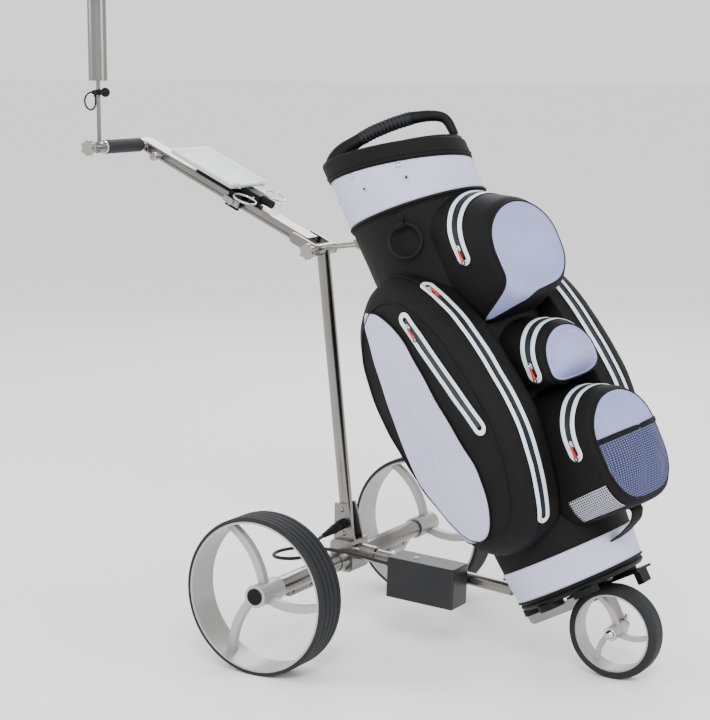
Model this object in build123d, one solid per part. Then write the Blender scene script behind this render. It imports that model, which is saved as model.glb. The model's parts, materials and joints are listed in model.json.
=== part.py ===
"""Golf bag on a three-wheel push cart, in millimetres, +Z up.

The cart points along +X (front wheel), and +Y is its left side.  Everything is drawn with x = 0 at
the rear axle, y = 0 on the centre plane and z = 0 on the ground.  The last step moves it all so that
the origin is the bottom centre of the whole cart's box.
"""

import os
from math import cos, pi, radians, sin

from build123d import *

# ---- fits ------------------------------------------------------------------------------------
RUN_FIT = 0.05  # radial clearance of a shaft that turns in its hole
SEAT_FIT = 0.02  # radial clearance of a piece that is pressed or glued in place
FREE_GAP = 0.5  # between moving pieces that only pass each other
SOFT_GAP = 1.0  # between soft pockets

# ---- rear wheels and axle --------------------------------------------------------------------
REAR_RADIUS = 145
REAR_WIDTH = 68
REAR_TYRE = 7  # thickness of the tread
REAR_BARREL = 4  # wall of the rim
TRACK_WIDTH = 662  # over the wheels' outer faces
REAR_HUB_RADIUS = 21
REAR_HUB_INSET = 6  # hub's outer end, inside the wheel's outer face
HUB_CAP_RADIUS = 15
HUB_CAP_HEIGHT = 4
DRIVE_SHAFT_RADIUS = 6
AXLE_RADIUS = 17
AXLE_WALL = 2
AXLE_HALF = 252  # half the length of the axle tube
BUSH_LENGTH = 26
BUSH_FLANGE = 3
MOTOR_LENGTH = 120
MOTOR_GAP = 6  # from the motor to the end of its drive shaft
RAIL_DEPTH = 11
RAIL_HEIGHT = 9

# ---- front wheel -----------------------------------------------------------------------------
WHEELBASE = 557
FRONT_RADIUS = 85
FRONT_TYRE = 14
FRONT_TYRE_WIDTH = 44
FRONT_BARREL = 4
FRONT_RIM_WIDTH = 39
FRONT_HUB_RADIUS = 13
FRONT_AXLE_RADIUS = 5
ARM_THICKNESS = 6
ARM_WIDTH = 20
ARM_GAP = 6  # from the tyre to the arm
BRACKET_PLATE = 4

# ---- frame tubes -----------------------------------------------------------------------------
MAST_RADIUS = 12.5
MAST_WALL = 1.6
MAST_FOOT_Z = 187
HINGE_X = -57
HINGE_Z = 737
KEEL_RADIUS = 12
KEEL_START = (AXLE_RADIUS + 3, 0, 159.7)
KEEL_END = (352, 0, 131)
FOOT_HALF = 29  # half the width of the axle clamp
FOOT_DEPTH = 25
CHEEK = 5  # cheek plate thickness
CHEEK_TOP = 252
CLAMP_RADIUS = 22
CLAMP_LENGTH = 24

REST_HEIGHT = 726  # of the cradle, up the bag
REST_SPREAD = 44  # where each arm meets the cradle, from the middle
REST_WIRE = 4

# ---- handle ----------------------------------------------------------------------------------
HINGE_RADIUS = 7
HINGE_TUBE_RADIUS = 11
HINGE_HALF = 27
HANDLE_ANGLE = 24.6  # above the horizontal, rearward
HANDLE_LENGTH = 462
FORK_LENGTH = 30  # from the hinge to the handle's solid part
HANDLE_WIDTH = 40
HANDLE_DEPTH = 20
GRIP_STATION = 452  # along the handle, from the hinge
GRIP_RADIUS = 13.5
GRIP_LENGTH = 112
GRIP_CORE_RADIUS = 7
COLLAR_LENGTH = 6
ROD_CLAMP_RADIUS = 11
ROD_CLAMP_LENGTH = 16
STAR_RADIUS = 15
STAR_DEPTH = 12
STAR_LOBES = 6
STUD_RADIUS = 4
HINGE_STUD = 8  # of the hinge knob, inside the bolt's head
UMBRELLA_STUD = 5  # of the umbrella knob, inside the grip bar's end
UMBRELLA_ROD_RADIUS = 4
UMBRELLA_ROD_TOP = 1052
UMBRELLA_RADIUS = 18
UMBRELLA_WALL = 1.6
UMBRELLA_TOP = 1206
UMBRELLA_LIP = 2
UMBRELLA_FLOOR = 3
DIAL_STATION = 402
DIAL_RADIUS = 8.5

# ---- scorecard holder ------------------------------------------------------------------------
TRAY_START = 200  # along the handle
TRAY_LENGTH = 157
TRAY_WIDTH = 120
TRAY_FLOOR = 31  # above the handle's centre line
TRAY_HEIGHT = 6
TRAY_WALL = 5
LID_THICKNESS = 2.5
LID_BARREL = 70  # width of the lid's hinge barrel
LOOP_STATION = 169
LOOP_RADIUS = 22.5
LOOP_WIRE = 1.7
LOOP_SPREAD = 51  # each ball loop's centre, from the middle
LOOP_BAR = 2.2  # bar through the clamp that carries both loops
LOOP_RISE = 24  # above the handle's centre line
TEE_RADIUS = 8
TEE_BORE = 2.6
KNOB_STATION = 206
EAR_WIDTH = 7

# ---- battery ---------------------------------------------------------------------------------
BATTERY_CENTRE = (197, -46, 138)
BATTERY_SIZE = (140, 60, 76)
BATTERY_LID = 12
BATTERY_TILT = 3
BUTTON_RADIUS = 5
BUTTON_TRAVEL = 1.5
LEAD_RADIUS = 3.25
PLUG_SLOPE = 6.7  # degrees that the plug's axis falls away from the mast
SOCKET_CENTRE = (-3, -(MAST_RADIUS + CHEEK + 0.3), 213)
SOCKET_RADIUS = 10
SOCKET_LENGTH = 12
PIN_RADIUS = 6
PLUG_LENGTH = 60

# ---- bag -------------------------------------------------------------------------------------
BAG_LEAN = 27.5  # degrees from upright, towards the mast
BAG_FOOT = (489, 0, 166)
BAG_RADIUS = 125
BAG_WALL = 3.5
BAG_FLOOR = 5
COLLAR_TOP = 815  # where the slanted collar top crosses the bag's axis
COLLAR_SLANT = 13.7
RING_TOP = 850
RING_SLANT = 10.5
RING_WALL = 11
RING_PROUD = 2
TOP_TURN = 25  # the top moulding is turned towards the cart's left
POCKET_TURN = -18  # the pocket column is turned towards the cart's right
BASE_RADIUS = 118
SHELL_FOOT_RADIUS = 116
SHELL_TAPER = 96  # height over which the shell widens from its foot
BASE_PLATE = 8  # below the shell's floor
LUG_DROP = 11
LUG_RADIUS = 24
ARCH_RADIUS = 12
DIVIDER_WALL = 5
DIVIDER_DROP = 24  # top edge of the dividers, below the ring's top
DIVIDER_DEPTH = 110

# Each front pocket: half width, w of the arch's centre at its zip, station of the zip, slope of its
# top, station of its front panel's side edges, and the outline of its middle as (station, w) from
# the top round the front.
FRONT_POCKETS = {
    "upper_front_pocket": dict(
        half=88, centre=620, zip=148, slope=0.56, edge=216,
        side=[(226, 668), (246, 625), (250, 575), (238, 530), (206, 495), (118, 479)],
    ),
    "middle_front_pocket": dict(
        half=70, centre=382, zip=174, slope=0.45, edge=204,
        side=[(212, 437), (240, 410), (248, 380), (244, 350), (226, 336), (118, 336)],
    ),
    "lower_front_pocket": dict(
        half=84, centre=231, zip=202, slope=0.35, edge=250,
        side=[(262, 294), (280, 250), (283, 200), (272, 160), (214, 104), (118, 90)],
    ),
}
SLIDER_SIZE = (13, 9, 4)
SLIDER_SOLE = 0.4  # of a front slider, below its seat
PULL_LENGTH = 26

# Outline of a side pocket as (station, w), seen from its own side, counted from the top.
SIDE_POCKET = [
    (-30, 626), (52, 612), (118, 520), (150, 400), (158, 280),
    (122, 150), (60, 101), (-30, 112), (-88, 210), (-122, 330), (-134, 450), (-104, 566),
]
SIDE_FACE = 188  # the pocket's face, from the bag's axis
SIDE_ROOT = 84
SIDE_EDGE = 150  # where the face starts to round over
SIDE_INSET = 0.80  # size of the face compared with the pocket's root


# ---- shapes that are used again and again ----------------------------------------------------
def toward(start, end):
    """Plane at start that looks to end."""
    return Plane(origin=start, z_dir=Vector(*end) - Vector(*start))


def rod(start, end, radius):
    """Round bar from start to end."""
    length = (Vector(*end) - Vector(*start)).length
    return toward(start, end) * Cylinder(radius, length, align=(Align.CENTER, Align.CENTER, Align.MIN))


def pipe(start, end, radius, wall):
    """Round tube from start to end, open at both ends."""
    return rod(start, end, radius) - rod(start, end, radius - wall)


def cone(start, end, start_radius, end_radius):
    """Round taper from start to end."""
    length = (Vector(*end) - Vector(*start)).length
    shape = Cone(start_radius, end_radius, length, align=(Align.CENTER, Align.CENTER, Align.MIN))
    return toward(start, end) * shape


def block(x_span, y_span, z_span):
    """Upright box between three pairs of limits."""
    size = [high - low for low, high in (x_span, y_span, z_span)]
    middle = [(high + low) / 2 for low, high in (x_span, y_span, z_span)]
    return Pos(*middle) * Box(*size)


def across(points, y_low, y_high):
    """Plate whose outline is given as (x, z) points, between two y values."""
    outline = Polyline(*[(x, y_low, z) for x, z in points], close=True)
    return extrude(make_face(outline), amount=y_high - y_low, dir=(0, 1, 0))


def flat_bar(route, width, y_low, y_high):
    """Flat bar on edge that follows (x, z) points, with round corners and ends."""
    bar = Part()
    for (x1, z1), (x2, z2) in zip(route, route[1:]):
        run = Vector(x2 - x1, 0, z2 - z1)
        middle = ((x1 + x2) / 2, y_low, (z1 + z2) / 2)
        slot = Plane(origin=middle, x_dir=run, z_dir=(0, 1, 0)) * SlotCenterToCenter(run.length, width)
        bar += extrude(slot, amount=y_high - y_low, dir=(0, 1, 0))
    return bar


def hoop(centre_x, centre_z, y_low, y_high, outer, inner):
    """Ring about an axis along Y."""
    return pipe((centre_x, y_low, centre_z), (centre_x, y_high, centre_z), outer, outer - inner)


def star_knob(centre, direction, radius, depth, stud_radius, stud_length, neck):
    """Lobed hand knob: a neck and a stud run from its back, along -direction."""
    frame = Plane(origin=centre, z_dir=direction)
    lobe = radius * 0.36
    head = Cylinder(radius - lobe, depth, align=(Align.CENTER, Align.CENTER, Align.MIN))
    for turn in range(STAR_LOBES):
        angle = 2 * pi * turn / STAR_LOBES
        place = Pos((radius - lobe) * cos(angle), (radius - lobe) * sin(angle), 0)
        head += place * Cylinder(lobe, depth, align=(Align.CENTER, Align.CENTER, Align.MIN))
    head += Pos(0, 0, -neck) * Cone(
        stud_radius + 2, radius * 0.6, neck, align=(Align.CENTER, Align.CENTER, Align.MIN)
    )
    head += Pos(0, 0, -neck - stud_length) * Cylinder(
        stud_radius, stud_length, align=(Align.CENTER, Align.CENTER, Align.MIN)
    )
    return frame * head


def wing_nut(centre, direction, span, hub_radius, hub_length, bore):
    """Nut with two flat wings, its bore along direction."""
    frame = Plane(origin=centre, z_dir=direction)
    nut = Cylinder(hub_radius, hub_length, align=(Align.CENTER, Align.CENTER, Align.MIN))
    for side in (-1, 1):
        wing = Rot(0, -side * 30, 0) * Box(span / 2, 3, hub_length, align=(
            Align.MIN if side > 0 else Align.MAX, Align.CENTER, Align.MIN))
        nut += Pos(side * hub_radius * 0.4, 0, 1) * wing
    nut -= Cylinder(bore, 6 * hub_length)
    return frame * nut


def outward(side, y):
    """y on the cart's left for side 1, on its right for side -1."""
    return side * y


# ---- rear axle -------------------------------------------------------------------------------
def axle_tube():
    """Round tube that carries both rear wheels, with a flat rail welded on from below."""
    start, end = (0, -AXLE_HALF, REAR_RADIUS), (0, AXLE_HALF, REAR_RADIUS)
    top = REAR_RADIUS - AXLE_RADIUS + 1
    clamp_end = FOOT_HALF + CLAMP_LENGTH + 1
    rail = Part()
    for side in (-1, 1):
        span = sorted((side * clamp_end, side * (AXLE_HALF - 34)))
        rail += block((-RAIL_DEPTH / 2, RAIL_DEPTH / 2), span, (top - RAIL_HEIGHT, top))
    return rod(start, end, AXLE_RADIUS) + rail - rod(start, end, AXLE_RADIUS - AXLE_WALL)


def gear_motors():
    """Two tubular gear motors inside the axle tube."""
    motors = Part()
    radius = AXLE_RADIUS - AXLE_WALL - SEAT_FIT
    outer = shaft_inner_end() - MOTOR_GAP
    for side in (-1, 1):
        near = outward(side, outer - MOTOR_LENGTH)
        motors += rod((0, near, REAR_RADIUS), (0, outward(side, outer), REAR_RADIUS), radius)
    return motors


def shaft_inner_end():
    """Distance of a drive shaft's inner end from the centre plane."""
    return AXLE_HALF - BUSH_LENGTH - 28


def axle_bushes():
    """Flanged bushes in the tube's ends, in which the drive shafts turn."""
    bushes = Part()
    for side in (-1, 1):
        inner = (0, outward(side, AXLE_HALF - BUSH_LENGTH), REAR_RADIUS)
        lip = (0, outward(side, AXLE_HALF + SEAT_FIT), REAR_RADIUS)
        outer = (0, outward(side, AXLE_HALF + BUSH_FLANGE), REAR_RADIUS)
        bush = rod(inner, outer, AXLE_RADIUS - AXLE_WALL - SEAT_FIT) + rod(lip, outer, AXLE_RADIUS)
        bushes += bush - rod(inner, outer, DRIVE_SHAFT_RADIUS + RUN_FIT)
    return bushes


# ---- wheels ----------------------------------------------------------------------------------
def polar(radius, degrees, centre_x, y, centre_z):
    """Point at an angle about a wheel's axis, counted from +X towards +Z."""
    angle = radians(degrees)
    return (centre_x + radius * cos(angle), y, centre_z + radius * sin(angle))


def swirl_spoke(centre_x, centre_z, y_low, y_high, hub, barrel, tip_angle, half_width):
    """Curved spoke from the hub to the rim, leaning back by a swirl angle at the hub."""
    swirl = 33
    middle = hub + 0.45 * (barrel - hub)
    stations = [(hub - 3, tip_angle - swirl), (middle, tip_angle - 0.45 * swirl), (barrel + 1, tip_angle)]
    edges = []
    for side in (-1, 1):
        points = []
        for radius, angle in stations:
            spread = side * half_width / radius * 180 / pi
            points.append(polar(radius, angle + spread, centre_x, y_low, centre_z))
        edges.append(points)
    outline = [
        ThreePointArc(*edges[0]),
        Line(edges[0][-1], edges[1][-1]),
        ThreePointArc(*edges[1]),
        Line(edges[1][0], edges[0][0]),
    ]
    return extrude(make_face(outline), amount=y_high - y_low, dir=(0, 1, 0))


def spoked_rim(centre_x, centre_z, middle_y, width, outer, wall, hub, hub_span, spoke_half, bore):
    """Barrel rim, three swirl spokes and a hub, about an axis along Y."""
    low, high = middle_y - width / 2, middle_y + width / 2
    rim = hoop(centre_x, centre_z, low, high, outer, outer - wall)
    rim += hoop(centre_x, centre_z, hub_span[0], hub_span[1], hub, bore)
    thick = hub * 0.32
    for tip in (0, 120, 240):
        spoke = swirl_spoke(
            centre_x, centre_z, middle_y - thick, middle_y + thick, hub, outer - wall, tip, spoke_half
        )
        rim += spoke - rod((centre_x, low, centre_z), (centre_x, high, centre_z), bore)
    return rim


def rear_wheel_middle(side):
    """y of a rear wheel's middle plane."""
    return outward(side, (TRACK_WIDTH - REAR_WIDTH) / 2)


def rear_hub_span(side):
    """y limits of a rear hub, low first."""
    inner = AXLE_HALF + BUSH_FLANGE + FREE_GAP
    outer = TRACK_WIDTH / 2 - REAR_HUB_INSET
    return tuple(sorted((outward(side, inner), outward(side, outer))))


def rear_rim(side):
    """Silver rim of a rear wheel."""
    return spoked_rim(
        0, REAR_RADIUS, rear_wheel_middle(side), REAR_WIDTH - 2, REAR_RADIUS - REAR_TYRE,
        REAR_BARREL, REAR_HUB_RADIUS, rear_hub_span(side), 7.5, DRIVE_SHAFT_RADIUS + SEAT_FIT,
    )


def rear_tyre(side):
    """Thin tread with rounded shoulders and four grooves."""
    middle = rear_wheel_middle(side)
    low, high = middle - REAR_WIDTH / 2, middle + REAR_WIDTH / 2
    bore = REAR_RADIUS - REAR_TYRE + SEAT_FIT
    tread = rod((0, low, REAR_RADIUS), (0, high, REAR_RADIUS), REAR_RADIUS)
    tread = fillet(tread.edges().filter_by(GeomType.CIRCLE), REAR_TYRE * 0.7)
    tread -= rod((0, low, REAR_RADIUS), (0, high, REAR_RADIUS), bore)
    for step in (-1.5, -0.5, 0.5, 1.5):
        y = middle + step * REAR_WIDTH / 5
        tread -= hoop(0, REAR_RADIUS, y - 1.2, y + 1.2, REAR_RADIUS + 1, REAR_RADIUS - 1.6)
    return tread


def drive_shaft(side):
    """Shaft that comes out of the axle and carries a rear wheel."""
    outer = TRACK_WIDTH / 2 - REAR_HUB_INSET
    start = (0, outward(side, shaft_inner_end()), REAR_RADIUS)
    return rod(start, (0, outward(side, outer), REAR_RADIUS), DRIVE_SHAFT_RADIUS)


def hub_cap(side):
    """Round cap on the hub's end."""
    inner = TRACK_WIDTH / 2 - REAR_HUB_INSET
    start = (0, outward(side, inner), REAR_RADIUS)
    cap = rod(start, (0, outward(side, inner + HUB_CAP_HEIGHT), REAR_RADIUS), HUB_CAP_RADIUS)
    return chamfer(cap.edges().sort_by(Axis.Y)[-1 if side > 0 else 0], 1.5)


def front_hub_span():
    """y limits of the front hub, which runs from the axle's head to the arm."""
    return (-FRONT_RIM_WIDTH / 2 - 3, arm_span()[0] - FREE_GAP)


def front_rim():
    """Silver rim of the front wheel."""
    return spoked_rim(
        WHEELBASE, FRONT_RADIUS, 0, FRONT_RIM_WIDTH, FRONT_RADIUS - FRONT_TYRE,
        FRONT_BARREL, FRONT_HUB_RADIUS, front_hub_span(), 5, FRONT_AXLE_RADIUS + RUN_FIT,
    )


def front_tyre():
    """Smooth round-shouldered tyre of the front wheel."""
    half = FRONT_TYRE_WIDTH / 2
    start, end = (WHEELBASE, -half, FRONT_RADIUS), (WHEELBASE, half, FRONT_RADIUS)
    tread = rod(start, end, FRONT_RADIUS)
    tread = fillet(tread.edges().filter_by(GeomType.CIRCLE), FRONT_TYRE * 0.85)
    return tread - rod(start, end, FRONT_RADIUS - FRONT_TYRE + SEAT_FIT)


def arm_span():
    """y limits of the flat arm beside the front wheel."""
    low = FRONT_TYRE_WIDTH / 2 + ARM_GAP
    return (low, low + ARM_THICKNESS)


def bag_point(station, w, y=0.0):
    """Point at a station forward of the bag's axis and w up it, on the cart's own heading."""
    lean = radians(BAG_LEAN)
    x = BAG_FOOT[0] + station * cos(lean) - w * sin(lean)
    z = BAG_FOOT[2] + station * sin(lean) + w * cos(lean)
    return (x, y, z)


def under_bag(station, w):
    """(x, z) of a point below the bag's base."""
    x, _, z = bag_point(station, w)
    return (x, z)


def front_arm():
    """Bent flat bar from the keel, under the bag's base, to the front axle."""
    low, high = arm_span()
    below = bracket_top() - BRACKET_PLATE - SEAT_FIT - ARM_WIDTH / 2
    route = [
        (KEEL_END[0] - 26, KEEL_END[2] + 3),
        (KEEL_END[0] - 4, KEEL_END[2] - 4),
        under_bag(-BASE_RADIUS - 20, below),
        under_bag(24, below),
        (WHEELBASE, FRONT_RADIUS),
    ]
    arm = flat_bar(route, ARM_WIDTH, low, high)
    tie = block((KEEL_END[0] - 34, KEEL_END[0] - 8), (0, low + 1), (KEEL_END[2] - 4, KEEL_END[2] + 8))
    tie -= rod(KEEL_START, KEEL_END, KEEL_RADIUS + SEAT_FIT)
    axle_hole = rod((WHEELBASE, low - 1, FRONT_RADIUS), (WHEELBASE, high + 1, FRONT_RADIUS),
                    FRONT_AXLE_RADIUS + SEAT_FIT)
    return arm + tie - axle_hole


def bracket_top():
    """w of the bracket's upper face, just under the bag's lugs."""
    return -BASE_PLATE - LUG_DROP - FREE_GAP


def base_bracket():
    """Black plate that the bag's base stands on, with an upright lip beside the arm."""
    low, high = arm_span()
    top = bracket_top()
    under = top - BRACKET_PLATE
    plate = [under_bag(-58, top), under_bag(96, top), under_bag(96, under), under_bag(-58, under)]
    lip = [under_bag(84, top), under_bag(96, top), under_bag(96, top - 26), under_bag(84, top - 26)]
    return across(plate, low, low + 62) + across(lip, high + SEAT_FIT, low + 40)


def front_axle():
    """Axle bolt with a domed head, through the hub and the arm."""
    head_y = front_hub_span()[0]
    tail_y = arm_span()[1] + 20
    bolt = rod((WHEELBASE, head_y, FRONT_RADIUS), (WHEELBASE, tail_y, FRONT_RADIUS), FRONT_AXLE_RADIUS)
    washer = rod((WHEELBASE, head_y - FREE_GAP, FRONT_RADIUS), (WHEELBASE, head_y - 3, FRONT_RADIUS), 11)
    dome = Pos(WHEELBASE, head_y - 3, FRONT_RADIUS) * Sphere(8.5)
    dome &= block((WHEELBASE - 20, WHEELBASE + 20), (head_y - 20, head_y - 2), (0, 200))
    joint = rod((WHEELBASE, head_y - 1, FRONT_RADIUS), (WHEELBASE, head_y + 1, FRONT_RADIUS),
                FRONT_AXLE_RADIUS)
    return bolt + washer + dome + joint


def front_wing_nut():
    """Wing nut that holds the front wheel on its arm."""
    start = arm_span()[1] + FREE_GAP
    centre = (WHEELBASE, start, FRONT_RADIUS)
    return wing_nut(centre, (0, 1, 0), 38, 8, 10, FRONT_AXLE_RADIUS + RUN_FIT)


# ---- mast and keel ---------------------------------------------------------------------------
def mast_x(z):
    """x of the mast's centre line at a height."""
    share = (z - MAST_FOOT_Z) / (HINGE_Z - MAST_FOOT_Z)
    return HINGE_X * share


def mast_foot():
    """Clamp on the axle tube with two cheeks that hold the mast and a socket for the keel."""
    depth = (-FOOT_DEPTH, FOOT_DEPTH)
    foot = block(depth, (-FOOT_HALF, FOOT_HALF), (REAR_RADIUS - 23, MAST_FOOT_Z - 4))
    foot = fillet(foot.edges().filter_by(Axis.Y), 9)
    for side in (-1, 1):
        start = (0, side * (FOOT_HALF - 1), REAR_RADIUS)
        end = (0, side * (FOOT_HALF + CLAMP_LENGTH), REAR_RADIUS)
        foot += cone(start, end, CLAMP_RADIUS, AXLE_RADIUS + 1.5)
    inner = MAST_RADIUS + RUN_FIT
    for side in (-1, 1):
        y_low, y_high = sorted((side * inner, side * (inner + CHEEK)))
        outline = [
            (-24, MAST_FOOT_Z - 10), (24, MAST_FOOT_Z - 10), (14, 222),
            (mast_x(CHEEK_TOP) + 12, CHEEK_TOP), (mast_x(CHEEK_TOP) - 15, CHEEK_TOP), (-22, 222),
        ]
        foot += across(outline, y_low, y_high)
    keel = Vector(*KEEL_END) - Vector(*KEEL_START)
    socket_end = Vector(*KEEL_START) + keel.normalized() * 42
    foot += rod(KEEL_START, tuple(socket_end), KEEL_RADIUS + 4)
    foot -= rod(KEEL_START, KEEL_END, KEEL_RADIUS + SEAT_FIT)
    foot -= rod((0, -AXLE_HALF, REAR_RADIUS), (0, AXLE_HALF, REAR_RADIUS), AXLE_RADIUS + SEAT_FIT)
    return foot


def mast_tube():
    """Round mast with the cross tube welded on its top, in which the handle's bolt turns."""
    start = (mast_x(MAST_FOOT_Z), 0, MAST_FOOT_Z)
    low, high = (HINGE_X, -HINGE_HALF, HINGE_Z), (HINGE_X, HINGE_HALF, HINGE_Z)
    tube = pipe(start, (HINGE_X, 0, HINGE_Z), MAST_RADIUS, MAST_WALL) + rod(low, high, HINGE_TUBE_RADIUS)
    return tube - rod(low, high, HINGE_RADIUS + RUN_FIT)


def keel_tube():
    """Round tube that runs forward from the foot, closed by a plug at its front end."""
    tube = pipe(KEEL_START, KEEL_END, KEEL_RADIUS, 1.8)
    axis = (Vector(*KEEL_END) - Vector(*KEEL_START)).normalized()
    plug = rod(tuple(Vector(*KEEL_END) - axis * 8), KEEL_END, KEEL_RADIUS)
    return tube + plug


def bag_rest():
    """Two thin arms from the hinge tube that carry a cradle behind the bag."""
    radius = BAG_RADIUS + FREE_GAP + 3.5
    rest = Part()
    for side in (-1, 1):
        end_y = side * REST_SPREAD
        start = (HINGE_X, side * 20, HINGE_Z + 3)
        end = bag_point(-(radius**2 - end_y**2) ** 0.5, REST_HEIGHT, end_y)
        rest += rod(start, end, REST_WIRE)
    rest -= rod((HINGE_X, -60, HINGE_Z), (HINGE_X, 60, HINGE_Z), HINGE_TUBE_RADIUS + SEAT_FIT)
    cradle = Pos(0, 0, REST_HEIGHT) * Cylinder(radius + 3, 18)
    cradle &= Pos(-radius, 0, REST_HEIGHT) * Box(60, 2 * REST_SPREAD + 30, 40)
    rest += bag_frame(0) * cradle
    return rest - bag_frame(0) * (Pos(0, 0, REST_HEIGHT) * Cylinder(radius - 3, 60))


# ---- handle ----------------------------------------------------------------------------------
def handle_point(station, rise=0.0, y=0.0):
    """Point along the handle from its hinge, and rise above its centre line."""
    angle = radians(HANDLE_ANGLE)
    x = HINGE_X - station * cos(angle) + rise * sin(angle)
    z = HINGE_Z + station * sin(angle) + rise * cos(angle)
    return (x, y, z)


def handle_frame(station, rise=0.0, y=0.0):
    """Plane on the handle: x towards its rear end, y to the cart's right, z square to its top."""
    angle = radians(HANDLE_ANGLE)
    return Plane(origin=handle_point(station, rise, y), x_dir=(-cos(angle), 0, sin(angle)),
                 z_dir=(sin(angle), 0, cos(angle)))


def handle_tube():
    """Rectangular handle with a groove along each side and a fork around the hinge tube."""
    start = FORK_LENGTH
    length = HANDLE_LENGTH - start
    body = Box(length, HANDLE_WIDTH, HANDLE_DEPTH, align=(Align.MIN, Align.CENTER, Align.CENTER))
    body = fillet(body.edges().filter_by(Axis.X), 3)
    for side in (-1, 1):
        body -= Pos(0, side * HANDLE_WIDTH / 2, -2) * Box(
            length, 5, 4, align=(Align.MIN, Align.CENTER, Align.CENTER))
    tube = handle_frame(start) * body
    inner = HINGE_HALF + RUN_FIT
    for side in (-1, 1):
        y_low, y_high = sorted((side * inner, side * (inner + 5)))
        route = [(HINGE_X, HINGE_Z), handle_point(start + 20)[::2]]
        tube += flat_bar(route, HANDLE_DEPTH, y_low, y_high)
    tube += handle_frame(start + 16) * Box(24, 2 * (inner + 4), HANDLE_DEPTH * 0.8)
    tube -= rod(handle_point(GRIP_STATION), handle_point(GRIP_STATION, 0, -60), GRIP_CORE_RADIUS + SEAT_FIT)
    tube -= rod((HINGE_X, -80, HINGE_Z), (HINGE_X, 80, HINGE_Z), HINGE_RADIUS + SEAT_FIT)
    return tube


def hinge_bolt():
    """Bolt that turns with the handle inside the hinge tube."""
    reach = HINGE_HALF + 5 + 4
    bolt = rod((HINGE_X, -reach, HINGE_Z), (HINGE_X, reach, HINGE_Z), HINGE_RADIUS)
    head = rod((HINGE_X, reach - 3, HINGE_Z), (HINGE_X, reach, HINGE_Z), HINGE_RADIUS + 4)
    bore = rod((HINGE_X, -reach - 1, HINGE_Z), (HINGE_X, -reach + HINGE_STUD + 1, HINGE_Z), STUD_RADIUS + RUN_FIT)
    return bolt + head - bore


def hinge_knob():
    """Star knob that clamps the handle's angle, threaded into the hinge bolt."""
    back = -(HINGE_HALF + 5 + 4) - FREE_GAP
    centre = (HINGE_X, back - 12, HINGE_Z)
    return star_knob(centre, (0, -1, 0), STAR_RADIUS, STAR_DEPTH, STUD_RADIUS, HINGE_STUD, 12)


def grip_end():
    """y of the grip's outer end."""
    return -HANDLE_WIDTH / 2 - COLLAR_LENGTH - GRIP_LENGTH


def hand_grip():
    """Soft sleeve on the cross bar at the handle's end."""
    start = handle_point(GRIP_STATION, 0, -HANDLE_WIDTH / 2 - COLLAR_LENGTH)
    end = handle_point(GRIP_STATION, 0, grip_end())
    sleeve = rod(start, end, GRIP_RADIUS)
    sleeve = fillet(sleeve.edges().filter_by(GeomType.CIRCLE), 2.5)
    return sleeve - rod(start, end, GRIP_CORE_RADIUS + SEAT_FIT)


def grip_bar():
    """Chrome bar inside the grip, with a collar at each end of the sleeve."""
    start = handle_point(GRIP_STATION, 0, -6)
    tail = handle_point(GRIP_STATION, 0, grip_end() - COLLAR_LENGTH - ROD_CLAMP_LENGTH - 6)
    bar = rod(start, tail, GRIP_CORE_RADIUS)
    inner = [-HANDLE_WIDTH / 2, -HANDLE_WIDTH / 2 - COLLAR_LENGTH]
    outer = [grip_end(), grip_end() - COLLAR_LENGTH]
    for y_high, y_low in (inner, outer):
        first = handle_point(GRIP_STATION, 0, y_high - SEAT_FIT)
        last = handle_point(GRIP_STATION, 0, y_low + SEAT_FIT)
        bar += rod(first, last, GRIP_RADIUS - 1)
    bore_start = handle_point(GRIP_STATION, 0, tail[1] - 1)
    bore_end = handle_point(GRIP_STATION, 0, tail[1] + UMBRELLA_STUD + 1)
    return bar - rod(bore_start, bore_end, STUD_RADIUS + RUN_FIT)


def umbrella_y():
    """y of the umbrella holder's upright."""
    return grip_end() - COLLAR_LENGTH - FREE_GAP - ROD_CLAMP_LENGTH / 2


def umbrella_axis(z):
    """Point on the umbrella holder's axis."""
    return (handle_point(GRIP_STATION)[0], umbrella_y(), z)


def umbrella_holder():
    """Upright rod on a ring that swivels on the grip bar, with a steel cup welded on its top."""
    x, _, z = handle_point(GRIP_STATION)
    half = ROD_CLAMP_LENGTH / 2
    y = umbrella_y()
    ring = rod((x, y - half, z), (x, y + half, z), ROD_CLAMP_RADIUS)
    ring += rod(umbrella_axis(z), umbrella_axis(UMBRELLA_ROD_TOP), UMBRELLA_ROD_RADIUS)
    ring -= rod((x, y - 30, z), (x, y + 30, z), GRIP_CORE_RADIUS + RUN_FIT)
    top = umbrella_axis(UMBRELLA_TOP)
    cup = rod(umbrella_axis(UMBRELLA_ROD_TOP), top, UMBRELLA_RADIUS)
    cup += rod(umbrella_axis(UMBRELLA_TOP - 3), top, UMBRELLA_RADIUS + UMBRELLA_LIP)
    return ring + cup - rod(umbrella_axis(UMBRELLA_ROD_TOP + UMBRELLA_FLOOR), top, umbrella_bore())


def umbrella_knob():
    """Star knob on the end of the grip bar."""
    x, _, z = handle_point(GRIP_STATION)
    back = grip_end() - COLLAR_LENGTH - ROD_CLAMP_LENGTH - 6 - FREE_GAP
    return star_knob((x, back - 12, z), (0, -1, 0), STAR_RADIUS, STAR_DEPTH, STUD_RADIUS, UMBRELLA_STUD, 12)


def umbrella_bore():
    """Inner radius of the umbrella cup."""
    return UMBRELLA_RADIUS - UMBRELLA_WALL


BUNGEE_RADIUS = 1.8
BUNGEE_Z = 1030
BALL_RADIUS = 9
CRIMP_RADIUS = 4.3
CRIMP_REACH = 13  # behind the rod's axis
BOSS_BACK = 7  # boss that the cord's end comes back to, behind the rod's axis
BOSS_DROP = 9
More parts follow.
